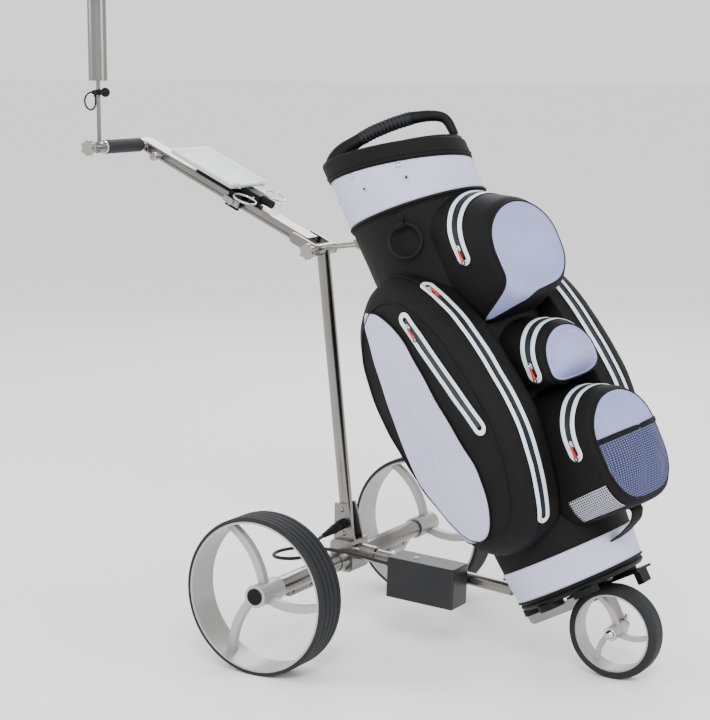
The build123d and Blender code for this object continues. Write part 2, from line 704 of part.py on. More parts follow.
# The elastic loop's corners as (behind, above) the crimp's middle.
BUNGEE_ROUTE = [
    (CRIMP_REACH, 0), (19, 0), (26, -3), (32, -9), (34, -17), (32, -25), (26, -32), (18, -34),
    (11, -31), (7.5, -24), (BOSS_BACK, -16), (BOSS_BACK, -BOSS_DROP),
]


def bungee_points():
    """Corners of the elastic loop, on the plane square to the grip."""
    x, y, _ = umbrella_axis(0)
    return [(x - back, y, BUNGEE_Z + up) for back, up in BUNGEE_ROUTE]


def tube_along(points, radius):
    """Tube of straight runs joined by arcs that are as large as the runs allow."""
    corners = [Vector(*point) for point in points]
    bends = []
    for before, here, after in zip(corners, corners[1:], corners[2:]):
        turn = (here - before).get_angle(after - here)
        shorter = min((here - before).length, (after - here).length)
        bends.append(0.45 * shorter / (sin(radians(turn) / 2) / cos(radians(turn) / 2)))
    path = FilletPolyline(*points, radius=bends)
    section = Plane(origin=path @ 0, z_dir=path % 0) * Circle(radius)
    tube = sweep(section, path=path)
    expected = pi * radius**2 * path.length
    print(f"tube: length {path.length:.0f}, radii {min(bends):.1f} to {max(bends):.1f}, "
          f"volume ratio {tube.volume / expected:.3f}")
    return tube


def bungee_cord():
    """Elastic loop that holds an umbrella's ribs."""
    return tube_along(bungee_points(), BUNGEE_RADIUS)


def bungee_ball():
    """Ball and crimp that the elastic cord is fixed in, on the umbrella holder's rod."""
    x, y, _ = umbrella_axis(0)
    z = BUNGEE_Z
    ball = Pos(x + 17, y, z) * Sphere(BALL_RADIUS)
    crimp = rod((x - CRIMP_REACH, y, z), (x + 12, y, z), CRIMP_RADIUS)
    boss = rod((x - BOSS_BACK, y, z - BOSS_DROP), (x - BOSS_BACK, y, z), BUNGEE_RADIUS + 1.6)
    hub = rod(umbrella_axis(z - 5), umbrella_axis(z + 5), UMBRELLA_ROD_RADIUS + 2.4)
    bore = rod(umbrella_axis(z - 30), umbrella_axis(z + 20), UMBRELLA_ROD_RADIUS + SEAT_FIT)
    return ball + crimp + boss + hub - bore


def speed_dial():
    """Round dial that turns on a short stem at the handle's right side."""
    start = handle_point(DIAL_STATION, -1, -HANDLE_WIDTH / 2 - FREE_GAP)
    shoulder = handle_point(DIAL_STATION, -1, start[1] - 14)
    face = handle_point(DIAL_STATION, -1, start[1] - 24)
    return cone(start, shoulder, 6, 4) + fillet(
        rod(shoulder, face, DIAL_RADIUS).edges().filter_by(GeomType.CIRCLE), 2.5)


# ---- scorecard holder ------------------------------------------------------------------------
def scorecard_clamp():
    """Black block that stands on the handle and carries the tray."""
    top = TRAY_FLOOR - SEAT_FIT
    bottom = HANDLE_DEPTH / 2 + SEAT_FIT
    stand = Pos(TRAY_START + 62, 0, (top + bottom) / 2) * Box(104, 34, top - bottom)
    neck = Pos(LOOP_STATION + 18, 0, (top + bottom) / 2 + 1) * Box(52, 26, top - bottom - 2)
    neck -= Pos(LOOP_STATION, 0, LOOP_RISE) * Rot(90, 0, 0) * Cylinder(LOOP_BAR + SEAT_FIT, 40)
    along_x = Rot(0, 90, 0)
    tee = Pos(LOOP_STATION - 20, 0, LOOP_RISE) * along_x * Cylinder(TEE_RADIUS, 26)
    tee -= Pos(LOOP_STATION - 26, 0, LOOP_RISE) * along_x * Cylinder(TEE_BORE, 30)
    ear_y = HANDLE_WIDTH / 2 + SEAT_FIT
    ear = Pos(KNOB_STATION, ear_y, 0) * Box(
        30, EAR_WIDTH, HANDLE_DEPTH + 8, align=(Align.CENTER, Align.MIN, Align.CENTER))
    bridge = Pos(KNOB_STATION, ear_y + EAR_WIDTH, bottom) * Box(
        30, 30, 8, align=(Align.CENTER, Align.MAX, Align.MIN))
    bore = Pos(KNOB_STATION, ear_y, 0) * Rot(90, 0, 0) * Cylinder(STUD_RADIUS + RUN_FIT, 40)
    return handle_frame(0) * (stand + neck + tee + ear + bridge - bore)


def clamp_knob():
    """Wing knob whose stud presses on the handle through the clamp's ear."""
    seat = HANDLE_WIDTH / 2 + FREE_GAP
    shoulder = HANDLE_WIDTH / 2 + EAR_WIDTH + FREE_GAP
    along_y = Rot(-90, 0, 0)
    stud = Pos(KNOB_STATION, seat, 0) * along_y * Cylinder(
        STUD_RADIUS, EAR_WIDTH + 4, align=(Align.CENTER, Align.CENTER, Align.MIN))
    hub = Pos(KNOB_STATION, shoulder, 0) * along_y * Cylinder(
        7, 11, align=(Align.CENTER, Align.CENTER, Align.MIN))
    wings = Pos(KNOB_STATION, shoulder + 3, 0) * Box(
        36, 5, 12, align=(Align.CENTER, Align.MIN, Align.CENTER))
    return handle_frame(0) * (stud + hub + wings)


def scorecard_tray():
    """Shallow pale tray for the card."""
    middle = TRAY_START + TRAY_LENGTH / 2
    tray = Box(TRAY_LENGTH, TRAY_WIDTH, TRAY_HEIGHT, align=(Align.CENTER, Align.CENTER, Align.MIN))
    tray = fillet(tray.edges().filter_by(Axis.Z), 6)
    pocket = Pos(0, 0, 2) * Box(TRAY_LENGTH - 2 * TRAY_WALL, TRAY_WIDTH - 2 * TRAY_WALL, TRAY_HEIGHT,
                                align=(Align.CENTER, Align.CENTER, Align.MIN))
    return handle_frame(0) * (Pos(middle, 0, TRAY_FLOOR) * (tray - pocket))


def lid_hinge():
    """Axis point of the lid, at the tray's front edge."""
    return handle_point(TRAY_START - 3, TRAY_FLOOR + TRAY_HEIGHT + 1.5)


def scorecard_lid():
    """Clear lid with a hinge barrel along its front edge."""
    low = TRAY_FLOOR + TRAY_HEIGHT + 0.3
    plate = Pos(TRAY_START + 3, 0, low) * Box(
        TRAY_LENGTH - 3, TRAY_WIDTH, LID_THICKNESS, align=(Align.MIN, Align.CENTER, Align.MIN))
    plate += Pos(TRAY_START - 3, 0, low) * Box(
        10, LID_BARREL, LID_THICKNESS, align=(Align.MIN, Align.CENTER, Align.MIN))
    barrel = Pos(TRAY_START - 3, 0, TRAY_FLOOR + TRAY_HEIGHT + 1.5) * Rot(90, 0, 0) * Cylinder(2.4, LID_BARREL)
    pin = Pos(TRAY_START - 3, 0, TRAY_FLOOR + TRAY_HEIGHT + 1.5) * Rot(90, 0, 0) * Cylinder(1.2, 84)
    return handle_frame(0) * (plate + barrel + pin)


def lid_ears():
    """Two ears of the tray that hold the lid's pin."""
    ears = Part()
    for side in (-1, 1):
        ear = Pos(TRAY_START - 2.5, side * 38.5, TRAY_FLOOR + 2) * Box(
            8, 5, TRAY_HEIGHT, align=(Align.CENTER, Align.CENTER, Align.MIN))
        ears += ear
    bore = Pos(TRAY_START - 3, 0, TRAY_FLOOR + TRAY_HEIGHT + 1.5) * Rot(90, 0, 0) * Cylinder(
        1.2 + RUN_FIT, 120)
    return handle_frame(0) * (ears - bore)


def ball_loops():
    """Two wire rings for golf balls, on a bar through the scorecard clamp."""
    reach = LOOP_SPREAD - LOOP_RADIUS
    wire = Pos(LOOP_STATION, 0, LOOP_RISE) * Rot(90, 0, 0) * Cylinder(LOOP_BAR, 2 * reach)
    for side in (-1, 1):
        wire += Pos(LOOP_STATION, side * LOOP_SPREAD, LOOP_RISE) * Torus(LOOP_RADIUS, LOOP_WIRE)
    return handle_frame(0) * wire


# ---- battery ---------------------------------------------------------------------------------
def battery_frame():
    """Plane at the battery's centre, tipped nose down like the keel."""
    tilt = radians(BATTERY_TILT)
    return Plane(origin=BATTERY_CENTRE, x_dir=(cos(tilt), 0, -sin(tilt)), z_dir=(sin(tilt), 0, cos(tilt)))


def battery_case():
    """Closed battery box with rounded upright corners and a cable gland at its rear."""
    length, width, height = BATTERY_SIZE
    case = Pos(0, 0, -BATTERY_LID / 2) * Box(length, width, height - BATTERY_LID)
    case = fillet(case.edges().filter_by(Axis.Z), 4)
    gland = Pos(-length / 2 - 4, -14, height / 2 - BATTERY_LID - 6) * Rot(0, 90, 0) * Cylinder(5.5, 9)
    return battery_frame() * (case + gland)


def gland_point(out=0.0):
    """Point on the gland's axis, a distance outside its face."""
    length, _, height = BATTERY_SIZE
    local = (-length / 2 - 8.5 - out, -14, height / 2 - BATTERY_LID - 6)
    return tuple(battery_frame().from_local_coords(Vector(*local)))


def battery_lid():
    """Lid of the battery box, with a hole for its button."""
    length, width, height = BATTERY_SIZE
    lid = Pos(0, 0, height / 2 - BATTERY_LID + SEAT_FIT) * Box(
        length, width, BATTERY_LID - SEAT_FIT, align=(Align.CENTER, Align.CENTER, Align.MIN))
    lid = fillet(lid.edges().filter_by(Axis.Z), 4)
    lid = chamfer(lid.faces().sort_by(Axis.Z)[-1].edges(), 2)
    well = Pos(-22, -4, height / 2 + 1) * Cylinder(
        BUTTON_RADIUS + RUN_FIT, BATTERY_LID - 3, align=(Align.CENTER, Align.CENTER, Align.MAX))
    return battery_frame() * (lid - well)


def power_button():
    """Push button that sinks into the battery's lid."""
    height = BATTERY_SIZE[2]
    button = Pos(-22, -4, height / 2 + 2.2) * Cylinder(
        BUTTON_RADIUS, 6, align=(Align.CENTER, Align.CENTER, Align.MAX))
    return battery_frame() * button


def battery_hanger():
    """Plate and two saddles that hang the battery beside the keel."""
    keel_y = -KEEL_RADIUS - 0.4
    case_y = BATTERY_CENTRE[1] + BATTERY_SIZE[1] / 2 + FREE_GAP
    hanger = block((140, 250), (case_y, keel_y), (112, 152))
    for x in (152, 238):
        z = KEEL_START[2] + (KEEL_END[2] - KEEL_START[2]) * (x - KEEL_START[0]) / (KEEL_END[0] - KEEL_START[0])
        saddle = hoop_along_x((x, 0, z), 12, KEEL_RADIUS + 4)
        hanger += saddle
    hanger -= rod(KEEL_START, KEEL_END, KEEL_RADIUS + SEAT_FIT)
    return hanger


def hoop_along_x(centre, length, radius):
    """Short round bar along X about a centre."""
    x, y, z = centre
    return rod((x - length / 2, y, z), (x + length / 2, y, z), radius)


def plug_axis(distance):
    """Point on the plug's axis, a distance out from the mast foot's cheek."""
    slope = radians(PLUG_SLOPE)
    x, y, z = SOCKET_CENTRE
    return (x, y - distance * cos(slope), z - distance * sin(slope))


def lead_socket():
    """Socket on the mast foot's right cheek, where the battery lead plugs in."""
    socket = rod(plug_axis(0), plug_axis(SOCKET_LENGTH), SOCKET_RADIUS)
    socket &= block((-50, 50), (-60, SOCKET_CENTRE[1] - SEAT_FIT), (150, 260))
    return socket - rod(plug_axis(3), plug_axis(SOCKET_LENGTH + 1), PIN_RADIUS + RUN_FIT)


def battery_plug():
    """Tapered plug at the end of the battery lead."""
    shoulder = SOCKET_LENGTH + FREE_GAP
    plug = rod(plug_axis(4), plug_axis(shoulder + 1), PIN_RADIUS)
    plug += rod(plug_axis(shoulder), plug_axis(shoulder + 22), 9)
    plug += cone(plug_axis(shoulder + 22), plug_axis(shoulder + PLUG_LENGTH), 8.5, LEAD_RADIUS + 1)
    return plug


# Corners of the lead's route between the gland and the plug, chosen by hand.
LEAD_ROUTE = [
    (80, -62, 167), (48, -70, 173), (16, -84, 179), (-14, -106, 184), (-36, -132, 187),
    (-48, -162, 188), (-48, -190, 188), (-34, -212, 189), (-11, -220, 190), (12, -212, 191),
    (26, -190, 192), (24, -163, 194), (11, -140, 197),
]


def lead_points():
    """All corners of the lead's route, from the gland to the plug's tail."""
    tail = SOCKET_LENGTH + FREE_GAP + PLUG_LENGTH
    return [gland_point(), gland_point(16), *LEAD_ROUTE, plug_axis(tail + 25), plug_axis(tail)]


def battery_lead():
    """Cable from the battery to its plug."""
    return tube_along(lead_points(), LEAD_RADIUS)


# ---- bag -------------------------------------------------------------------------------------
def bag_frame(turn):
    """Plane at the bag's foot: z up the bag, x forward, turned about the bag's axis."""
    lean, yaw = radians(BAG_LEAN), radians(turn)
    forward = (cos(lean) * cos(yaw), sin(yaw), sin(lean) * cos(yaw))
    return Plane(origin=BAG_FOOT, x_dir=forward, z_dir=(-sin(lean), 0, cos(lean)))


def slanted_below(shape, height, slant):
    """The part of an upright shape below a plane that falls towards +x."""
    cut = Plane(origin=(0, 0, height), z_dir=(sin(radians(slant)), 0, cos(radians(slant))))
    return split(shape, bisect_by=cut, keep=Keep.BOTTOM)


def slanted_above(shape, height, slant):
    """The part of an upright shape above a plane that falls towards +x."""
    cut = Plane(origin=(0, 0, height), z_dir=(sin(radians(slant)), 0, cos(radians(slant))))
    return split(shape, bisect_by=cut, keep=Keep.TOP)


def upright(radius, bottom, top):
    """Cylinder about the bag's axis between two heights."""
    return Pos(0, 0, bottom) * Cylinder(radius, top - bottom, align=(Align.CENTER, Align.CENTER, Align.MIN))


def shell_foot(wall):
    """Taper at the foot of the bag's tube, smaller all round by the wall."""
    foot = Cone(SHELL_FOOT_RADIUS - wall, BAG_RADIUS - wall, SHELL_TAPER,
                align=(Align.CENTER, Align.CENTER, Align.MIN))
    return foot


def bag_shell():
    """Round tube of the bag with its floor, up to the slanted top of the collar."""
    shell = upright(BAG_RADIUS, SHELL_TAPER, COLLAR_TOP + 60) + shell_foot(0)
    shell -= upright(BAG_RADIUS - BAG_WALL, SHELL_TAPER, COLLAR_TOP + 61)
    shell -= shell_foot(BAG_WALL) - upright(BAG_RADIUS, 0, BAG_FLOOR)
    return bag_frame(TOP_TURN) * slanted_below(shell, COLLAR_TOP, COLLAR_SLANT)


def top_ring():
    """Moulded ring on the bag's mouth, in one piece with the walls between the clubs."""
    outer = BAG_RADIUS + RING_PROUD
    inner = BAG_RADIUS + RING_PROUD - RING_WALL
    ring = upright(outer, COLLAR_TOP - 80, RING_TOP + 60) - upright(inner, COLLAR_TOP - 81, RING_TOP + 61)
    ring = slanted_below(ring, RING_TOP, RING_SLANT)
    ring = slanted_above(ring, COLLAR_TOP + SEAT_FIT, COLLAR_SLANT)
    return bag_frame(TOP_TURN) * (ring + club_divider())


def arch_points():
    """Centre line of the lift handle, in the top moulding's own plane."""
    foot = BAG_RADIUS - 9
    return [(-foot, 868), (-96, 890), (-64, 900), (-20, 904), (36, 900), (88, 888), (foot, 873), (foot, 846)]


def carry_handle():
    """Lift handle that arches over the bag's mouth from rear to front."""
    points = [(x, 0, z) for x, z in arch_points()]
    bends = [16, 40, 80, 80, 34, 11]
    path = FilletPolyline(*points, radius=bends)
    section = Plane(origin=path @ 0, z_dir=path % 0) * Circle(ARCH_RADIUS)
    arch = sweep(section, path=path)
    heel = Pos(11 - BAG_RADIUS, 0, 858) * Box(20, 46, 40)
    toe = Pos(BAG_RADIUS - 9, 0, 838) * Box(16, 30, 20)
    arch = arch + heel + toe
    ring_room = slanted_below(upright(BAG_RADIUS + 30, 700, 900), RING_TOP + SEAT_FIT, RING_SLANT)
    return bag_frame(TOP_TURN) * (arch - ring_room)


def club_divider():
    """Cross walls in the bag's mouth that keep the clubs apart, moulded with the ring."""
    reach = BAG_RADIUS - BAG_WALL - SOFT_GAP
    walls = Box(2 * reach, DIVIDER_WALL, 400)
    for x in (-42, 42):
        walls += Pos(x, 0, 0) * Box(DIVIDER_WALL, 2 * reach, 400)
    walls = Pos(0, 0, RING_TOP - 50) * walls
    walls &= upright(reach, RING_TOP - DIVIDER_DROP - DIVIDER_DEPTH, RING_TOP + 100)
    return slanted_below(walls, RING_TOP - DIVIDER_DROP, RING_SLANT)


def bag_base():
    """Moulded base with round feet, cut away over the front wheel."""
    base = upright(BASE_RADIUS, -BASE_PLATE, -SEAT_FIT)
    base = chamfer(base.faces().sort_by(Axis.Z)[0].edges(), 5)
    channel = FRONT_TYRE_WIDTH / 2 + 8
    for angle in (62, 106, 150, 210, 254, 298):
        x = (BASE_RADIUS - LUG_RADIUS) * cos(radians(angle))
        y = (BASE_RADIUS - LUG_RADIUS) * sin(radians(angle))
        foot = Pos(x, y, -BASE_PLATE + 1) * Cylinder(
            LUG_RADIUS, LUG_DROP + 1, align=(Align.CENTER, Align.CENTER, Align.MAX))
        base += foot
    base -= Pos(60, 0, -BASE_PLATE - LUG_DROP - 10) * Box(
        200, 2 * channel, 2 * LUG_DROP + 20 - 2, align=(Align.CENTER, Align.CENTER, Align.CENTER))
    return bag_frame(0) * base


def arch_face(half, centre, floor, station):
    """Outline of a pocket seen from the front: straight sides under a half circle."""
    outline = [
        Line((station, -half, floor), (station, -half, centre)),
        ThreePointArc((station, -half, centre), (station, 0, centre + half), (station, half, centre)),
        Line((station, half, centre), (station, half, floor)),
        Line((station, half, floor), (station, -half, floor)),
    ]
    return make_face(outline)


def front_pocket_body(name, grow=0.0):
    """Round-topped pocket in the bag's own frame, larger all round by grow."""
    size = FRONT_POCKETS[name]
    half = size["half"] + grow
    station = 60
    centre = size["centre"] + size["slope"] * (size["zip"] - station)
    arch = arch_face(half, centre, -400, station)
    prism = extrude(arch, amount=320, dir=(1, 0, -size["slope"]))
    top_x, top_w = size["side"][0]
    side = [(station - 1, top_w + 300), (top_x + grow, top_w + 300)]
    side += [(x + grow, w) for x, w in size["side"][:-2]]
    side += [(x, w - grow) for x, w in size["side"][-2:]]
    side += [(station - 1, size["side"][-1][1] - grow)]
    outline = Polyline(*[(x, -half - 5, w) for x, w in side], close=True)
    profile = extrude(make_face(outline), amount=2 * half + 10, dir=(0, 1, 0))
    crown = max(x for x, _ in size["side"]) + grow
    edge = size["edge"] + grow
    plan = [
        Line((station - 1, -half - 1, 0), (edge, -half - 1, 0)),
        ThreePointArc((edge, -half - 1, 0), (crown, 0, 0), (edge, half + 1, 0)),
        Line((edge, half + 1, 0), (station - 1, half + 1, 0)),
        Line((station - 1, half + 1, 0), (station - 1, -half - 1, 0)),
    ]
    return prism & profile & extrude(make_face(plan), amount=900, dir=(0, 0, 1))


def front_pocket(name):
    """One pocket of the front column, standing on the bag's round wall."""
    pocket = front_pocket_body(name)
    pocket -= upright(BAG_RADIUS + SEAT_FIT, -50, 900)
    if name == "lower_front_pocket":
        pocket -= front_pocket_body("middle_front_pocket", SOFT_GAP)
    return bag_frame(POCKET_TURN) * pocket


def side_outline(scale, depth):
    """Closed smooth outline of a side pocket at a distance from the bag's axis."""
    centre_x = sum(x for x, _ in SIDE_POCKET) / len(SIDE_POCKET)
    centre_w = sum(w for _, w in SIDE_POCKET) / len(SIDE_POCKET)
    points = [(centre_x + (x - centre_x) * scale, depth, centre_w + (w - centre_w) * scale)
              for x, w in SIDE_POCKET]
    return make_face(Spline(*points, periodic=True))


def side_pocket(side):
    """Long clothing pocket, on the cart's left for side 1 and on its right for side -1."""
    root = side_outline(1.0, side * SIDE_ROOT)
    edge = side_outline(1.0, side * SIDE_EDGE)
    face = side_outline(SIDE_INSET, side * SIDE_FACE)
    pocket = loft([root, edge], ruled=True) + loft([edge, face], ruled=True)
    pocket -= upright(BAG_RADIUS + SEAT_FIT, -50, 900)
    widest = max(size["half"] for size in FRONT_POCKETS.values()) + SOFT_GAP
    pocket -= Pos(100, 0, 400) * Box(200, 2 * widest, 900, align=(Align.CENTER, Align.CENTER, Align.CENTER))
    pocket -= Pos(400, 0, 400) * Box(400, 2 * widest, 900)
    return bag_frame(POCKET_TURN) * pocket


GRAB_STRAP = [(122, 92), (150, 100), (182, 100), (200, 86), (186, 70), (150, 58), (122, 52)]


def grab_strap():
    """Webbing loop for lifting the bag by its foot, under the lower pocket."""
    strap = Part()
    outer = [(x, w) for x, w in GRAB_STRAP]
    for (x1, w1), (x2, w2) in zip(outer, outer[1:]):
        run = Vector(x2 - x1, 0, w2 - w1)
        slot = Plane(origin=((x1 + x2) / 2, -16, (w1 + w2) / 2), x_dir=run, z_dir=(0, 1, 0))
        strap += extrude(slot * SlotCenterToCenter(run.length, 5), amount=32, dir=(0, 1, 0))
    strap -= upright(BAG_RADIUS + SEAT_FIT, 0, 200)
    strap -= front_pocket_body("lower_front_pocket", SOFT_GAP)
    return bag_frame(POCKET_TURN) * strap


TOWEL_ANGLE = -62  # about the bag's axis, from the pocket column
TOWEL_TOP = 706
TOWEL_RADIUS = 30
TOWEL_WIRE = 4
TOWEL_STAND = 9  # from the bag's wall to the ring's plane


def towel_frame():
    """Plane at the towel ring's top: x out of the bag, y along the wall, z up the bag."""
    column = bag_frame(POCKET_TURN)
    angle = radians(TOWEL_ANGLE)
    out = column.x_dir * cos(angle) + column.y_dir * sin(angle)
    origin = column.origin + out * (BAG_RADIUS + TOWEL_STAND) + column.z_dir * TOWEL_TOP
    return Plane(origin=origin, x_dir=out, z_dir=column.z_dir)


def towel_ring():
    """Round ring that hangs by the bag's wall for a towel."""
    ring = Pos(0, 0, -TOWEL_RADIUS) * Rot(0, 90, 0) * Torus(TOWEL_RADIUS, TOWEL_WIRE)
    return towel_frame() * ring


def towel_loop():
    """Webbing loop on the bag's wall that the towel ring hangs in."""
    loop = Rot(90, 0, 0) * Cylinder(TOWEL_WIRE + 5.5, 24)
    stem = Pos(-TOWEL_STAND / 2, 0, 6) * Box(TOWEL_STAND, 24, 12)
    loop += stem
    for turn in (-90, 90):
        throat = Cone(TOWEL_WIRE + 0.6, TOWEL_WIRE + 3.4, 13, align=(Align.CENTER, Align.CENTER, Align.MIN))
        loop -= Rot(turn, 0, 0) * throat
    loop -= Pos(0, 0, -12) * Box(9.2, 40, 24)
    body = towel_frame() * loop
    return body - bag_frame(0) * upright(BAG_RADIUS + SEAT_FIT, 0, 900)


def slider(frame):
    """Zip slider with its pull cord: x out of the pocket, z towards the zip's closed end."""
    length, width, height = SLIDER_SIZE
    body = Box(height, width, length, align=(Align.MIN, Align.CENTER, Align.CENTER))
    pull = Pos(height - 1.5, 0, -length / 2 + 2) * Box(
        2.5, 5, PULL_LENGTH, align=(Align.MIN, Align.CENTER, Align.MAX))
    return frame * (body + pull)


def front_slider(name):
    """Slider of a front pocket's zip, at the right-hand foot of its arch.

    Its underside is round about the arch's own axis, and its rear half is cut back to a cone so that
    it clears the pocket's top, which falls away forwards.
    """
    size = FRONT_POCKETS[name]
    column = bag_frame(POCKET_TURN)
    local = Vector(size["zip"], -size["half"] - FREE_GAP, size["centre"])
    frame = Plane(origin=column.from_local_coords(local), x_dir=-column.y_dir, z_dir=column.z_dir)
    reach = size["half"] + FREE_GAP
    length, width, _ = SLIDER_SIZE
    arch = Plane(origin=(-reach, 0, 0), z_dir=(0, -1, 0))
    room = arch * Cylinder(reach, width, align=(Align.CENTER, Align.CENTER, Align.MAX))
    behind = reach + size["slope"] * width
    room += arch * Cone(reach, behind, width, align=(Align.CENTER, Align.CENTER, Align.MIN))
    sole = Pos(-SLIDER_SOLE, 0, 0) * Box(
        2 * SLIDER_SOLE, width, length, align=(Align.MIN, Align.CENTER, Align.CENTER))
    return slider(frame) + frame * sole - frame * room


# Straight zip of a side pocket, as (station, w) of its two ends.
FACE_ZIP = [(56, 530), (112, 335)]
EDGE_ZIP_DEPTH = 138  # of the curved zip on a side pocket's flank, from the bag's axis
EDGE_ZIP_TOP = (86, 574)
EDGE_ZIP_MIDDLE = (137, 455)
EDGE_ZIP_END = (157, 320)
EDGE_ZIP_GAP = 4.5  # keeps the slider clear of the flank all along its arc


def edge_zip_circle():
    """(station, w) of the centre of the curved zip, and its radius."""
    (x1, w1), (x2, w2), (x3, w3) = EDGE_ZIP_TOP, EDGE_ZIP_MIDDLE, EDGE_ZIP_END
    first = (x2**2 - x1**2 + w2**2 - w1**2) / 2
    second = (x3**2 - x2**2 + w3**2 - w2**2) / 2
    scale = (x2 - x1) * (w3 - w2) - (x3 - x2) * (w2 - w1)
    centre_x = (first * (w3 - w2) - second * (w2 - w1)) / scale
    centre_w = ((x2 - x1) * second - (x3 - x2) * first) / scale
    return (centre_x, centre_w, ((x1 - centre_x) ** 2 + (w1 - centre_w) ** 2) ** 0.5)


def edge_slider(side):
    """Slider at the top of a side pocket's curved zip."""
    column = bag_frame(POCKET_TURN)
    centre_x, centre_w, radius = edge_zip_circle()
    x, w = EDGE_ZIP_TOP
    out = column.x_dir * ((x - centre_x) / radius) + column.z_dir * ((w - centre_w) / radius)
    origin = column.from_local_coords(Vector(x, side * EDGE_ZIP_DEPTH, w)) + out * EDGE_ZIP_GAP
    run = column.z_dir * ((x - centre_x) / radius) - column.x_dir * ((w - centre_w) / radius)
    return slider(Plane(origin=origin, x_dir=out, z_dir=run))


def face_zip_frame(side):
    """Plane on a side pocket's face at the top of its straight zip."""
    column = bag_frame(POCKET_TURN)
    (x1, w1), (x2, w2) = FACE_ZIP
    origin = column.from_local_coords(Vector(x1, side * (SIDE_FACE + FREE_GAP), w1))
    run = (column.x_dir * (x1 - x2) + column.z_dir * (w1 - w2)).normalized()
    return Plane(origin=origin, x_dir=column.y_dir * side, z_dir=run)


def side_slider(side):
    """Slider on the straight zip of a side pocket."""
    return slider(face_zip_frame(side))


# ---- assembly --------------------------------------------------------------------------------
def build_nodes():
    """Every sub-part under its node name, in the drawing frame."""
    nodes = {
        "axle_tube": axle_tube(),
        "gear_motors": gear_motors(),
        "axle_bushes": axle_bushes(),
        "mast_foot": mast_foot(),
        "mast_tube": mast_tube(),
        "keel_tube": keel_tube(),
        "bag_rest": bag_rest(),
        "front_arm": front_arm(),
        "base_bracket": base_bracket(),
        "front_axle": front_axle(),
        "front_wing_nut": front_wing_nut(),
        "front_rim": front_rim(),
        "front_tyre": front_tyre(),
        "handle_tube": handle_tube(),
        "hinge_bolt": hinge_bolt(),
        "hinge_knob": hinge_knob(),
        "hand_grip": hand_grip(),
        "grip_bar": grip_bar(),
        "umbrella_knob": umbrella_knob(),
        "umbrella_holder": umbrella_holder(),
        "bungee_cord": bungee_cord(),
        "bungee_ball": bungee_ball(),
        "speed_dial": speed_dial(),
        "scorecard_clamp": scorecard_clamp(),
        "clamp_knob": clamp_knob(),
        "scorecard_tray": scorecard_tray() + lid_ears(),
        "scorecard_lid": scorecard_lid(),
        "ball_loops": ball_loops(),
        "battery_case": battery_case(),
        "battery_lid": battery_lid(),
        "power_button": power_button(),
        "battery_hanger": battery_hanger(),
        "battery_lead": battery_lead(),
        "battery_plug": battery_plug(),
        "lead_socket": lead_socket(),
        "bag_shell": bag_shell(),
        "top_ring": top_ring(),
        "carry_handle": carry_handle(),
        "bag_base": bag_base(),
        "grab_strap": grab_strap(),
        "towel_ring": towel_ring(),
        "towel_loop": towel_loop(),
    }
    for side, word in ((1, "left"), (-1, "right")):
        nodes[f"{word}_rear_rim"] = rear_rim(side)
        nodes[f"{word}_rear_tyre"] = rear_tyre(side)
        nodes[f"{word}_drive_shaft"] = drive_shaft(side)
        nodes[f"{word}_hub_cap"] = hub_cap(side)
        nodes[f"{word}_side_pocket"] = side_pocket(side)
    for name in FRONT_POCKETS:
        nodes[name] = front_pocket(name)
        nodes[name.replace("pocket", "slider")] = front_slider(name)
    nodes["right_side_slider"] = side_slider(-1)
    nodes["right_edge_slider"] = edge_slider(-1)
    return nodes


# Cords and what is on them hang freely, so they don't set the cart's box.
CORD_NODES = {"battery_lead", "battery_plug", "bungee_cord", "bungee_ball"}


def placed(nodes):
    """The nodes moved so that the origin is the bottom centre of the cart's box."""
    boxes = [shape.bounding_box() for name, shape in nodes.items() if name not in CORD_NODES]
    low = [min(tuple(box.min)[axis] for box in boxes) for axis in range(3)]
    high = [max(tuple(box.max)[axis] for box in boxes) for axis in range(3)]
    shift = Vector(-(low[0] + high[0]) / 2, -(low[1] + high[1]) / 2, -low[2])
    print("shift", tuple(round(value, 3) for value in shift))
    return {name: shape.moved(Location(shift)) for name, shape in nodes.items()}


def main():
    """Write one STEP file for each node."""
    os.makedirs("parts", exist_ok=True)
    for name, shape in placed(build_nodes()).items():
        export_step(shape, f"parts/{name}.step")


if __name__ == "__main__":
    main()
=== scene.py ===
"""Looks of a golf bag on a three-wheel push cart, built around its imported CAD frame.

Lengths are in metres in the row frame: +X forward, +Y to the cart's left, +Z up.  The bag leans, so
its pieces are worked out in the bag's own millimetres (station, side, w) and placed by a BagFrame.
"""

import json
import logging
from dataclasses import dataclass, field
from enum import Enum
from typing import Callable, Sequence

import bmesh
import bpy
import numpy as np
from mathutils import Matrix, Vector


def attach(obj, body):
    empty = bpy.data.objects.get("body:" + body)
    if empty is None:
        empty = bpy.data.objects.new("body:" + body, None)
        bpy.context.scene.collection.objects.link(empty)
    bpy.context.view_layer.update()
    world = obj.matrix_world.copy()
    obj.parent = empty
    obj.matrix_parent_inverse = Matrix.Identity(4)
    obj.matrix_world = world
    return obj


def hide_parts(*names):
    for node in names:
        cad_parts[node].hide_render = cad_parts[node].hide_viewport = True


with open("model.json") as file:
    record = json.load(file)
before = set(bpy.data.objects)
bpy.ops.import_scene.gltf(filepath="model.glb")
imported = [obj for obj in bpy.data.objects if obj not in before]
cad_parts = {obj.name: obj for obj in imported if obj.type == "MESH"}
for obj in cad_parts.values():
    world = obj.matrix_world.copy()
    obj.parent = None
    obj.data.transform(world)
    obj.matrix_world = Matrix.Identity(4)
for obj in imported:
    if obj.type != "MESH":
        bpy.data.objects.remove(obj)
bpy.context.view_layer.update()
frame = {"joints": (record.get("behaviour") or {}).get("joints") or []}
LOG = logging.getLogger("golf_cart")
MM = 0.001
JOINTS = {joint["name"]: joint for joint in frame["joints"]}
AXLE_X = JOINTS["left_wheel_spin"]["pos_m"][0]

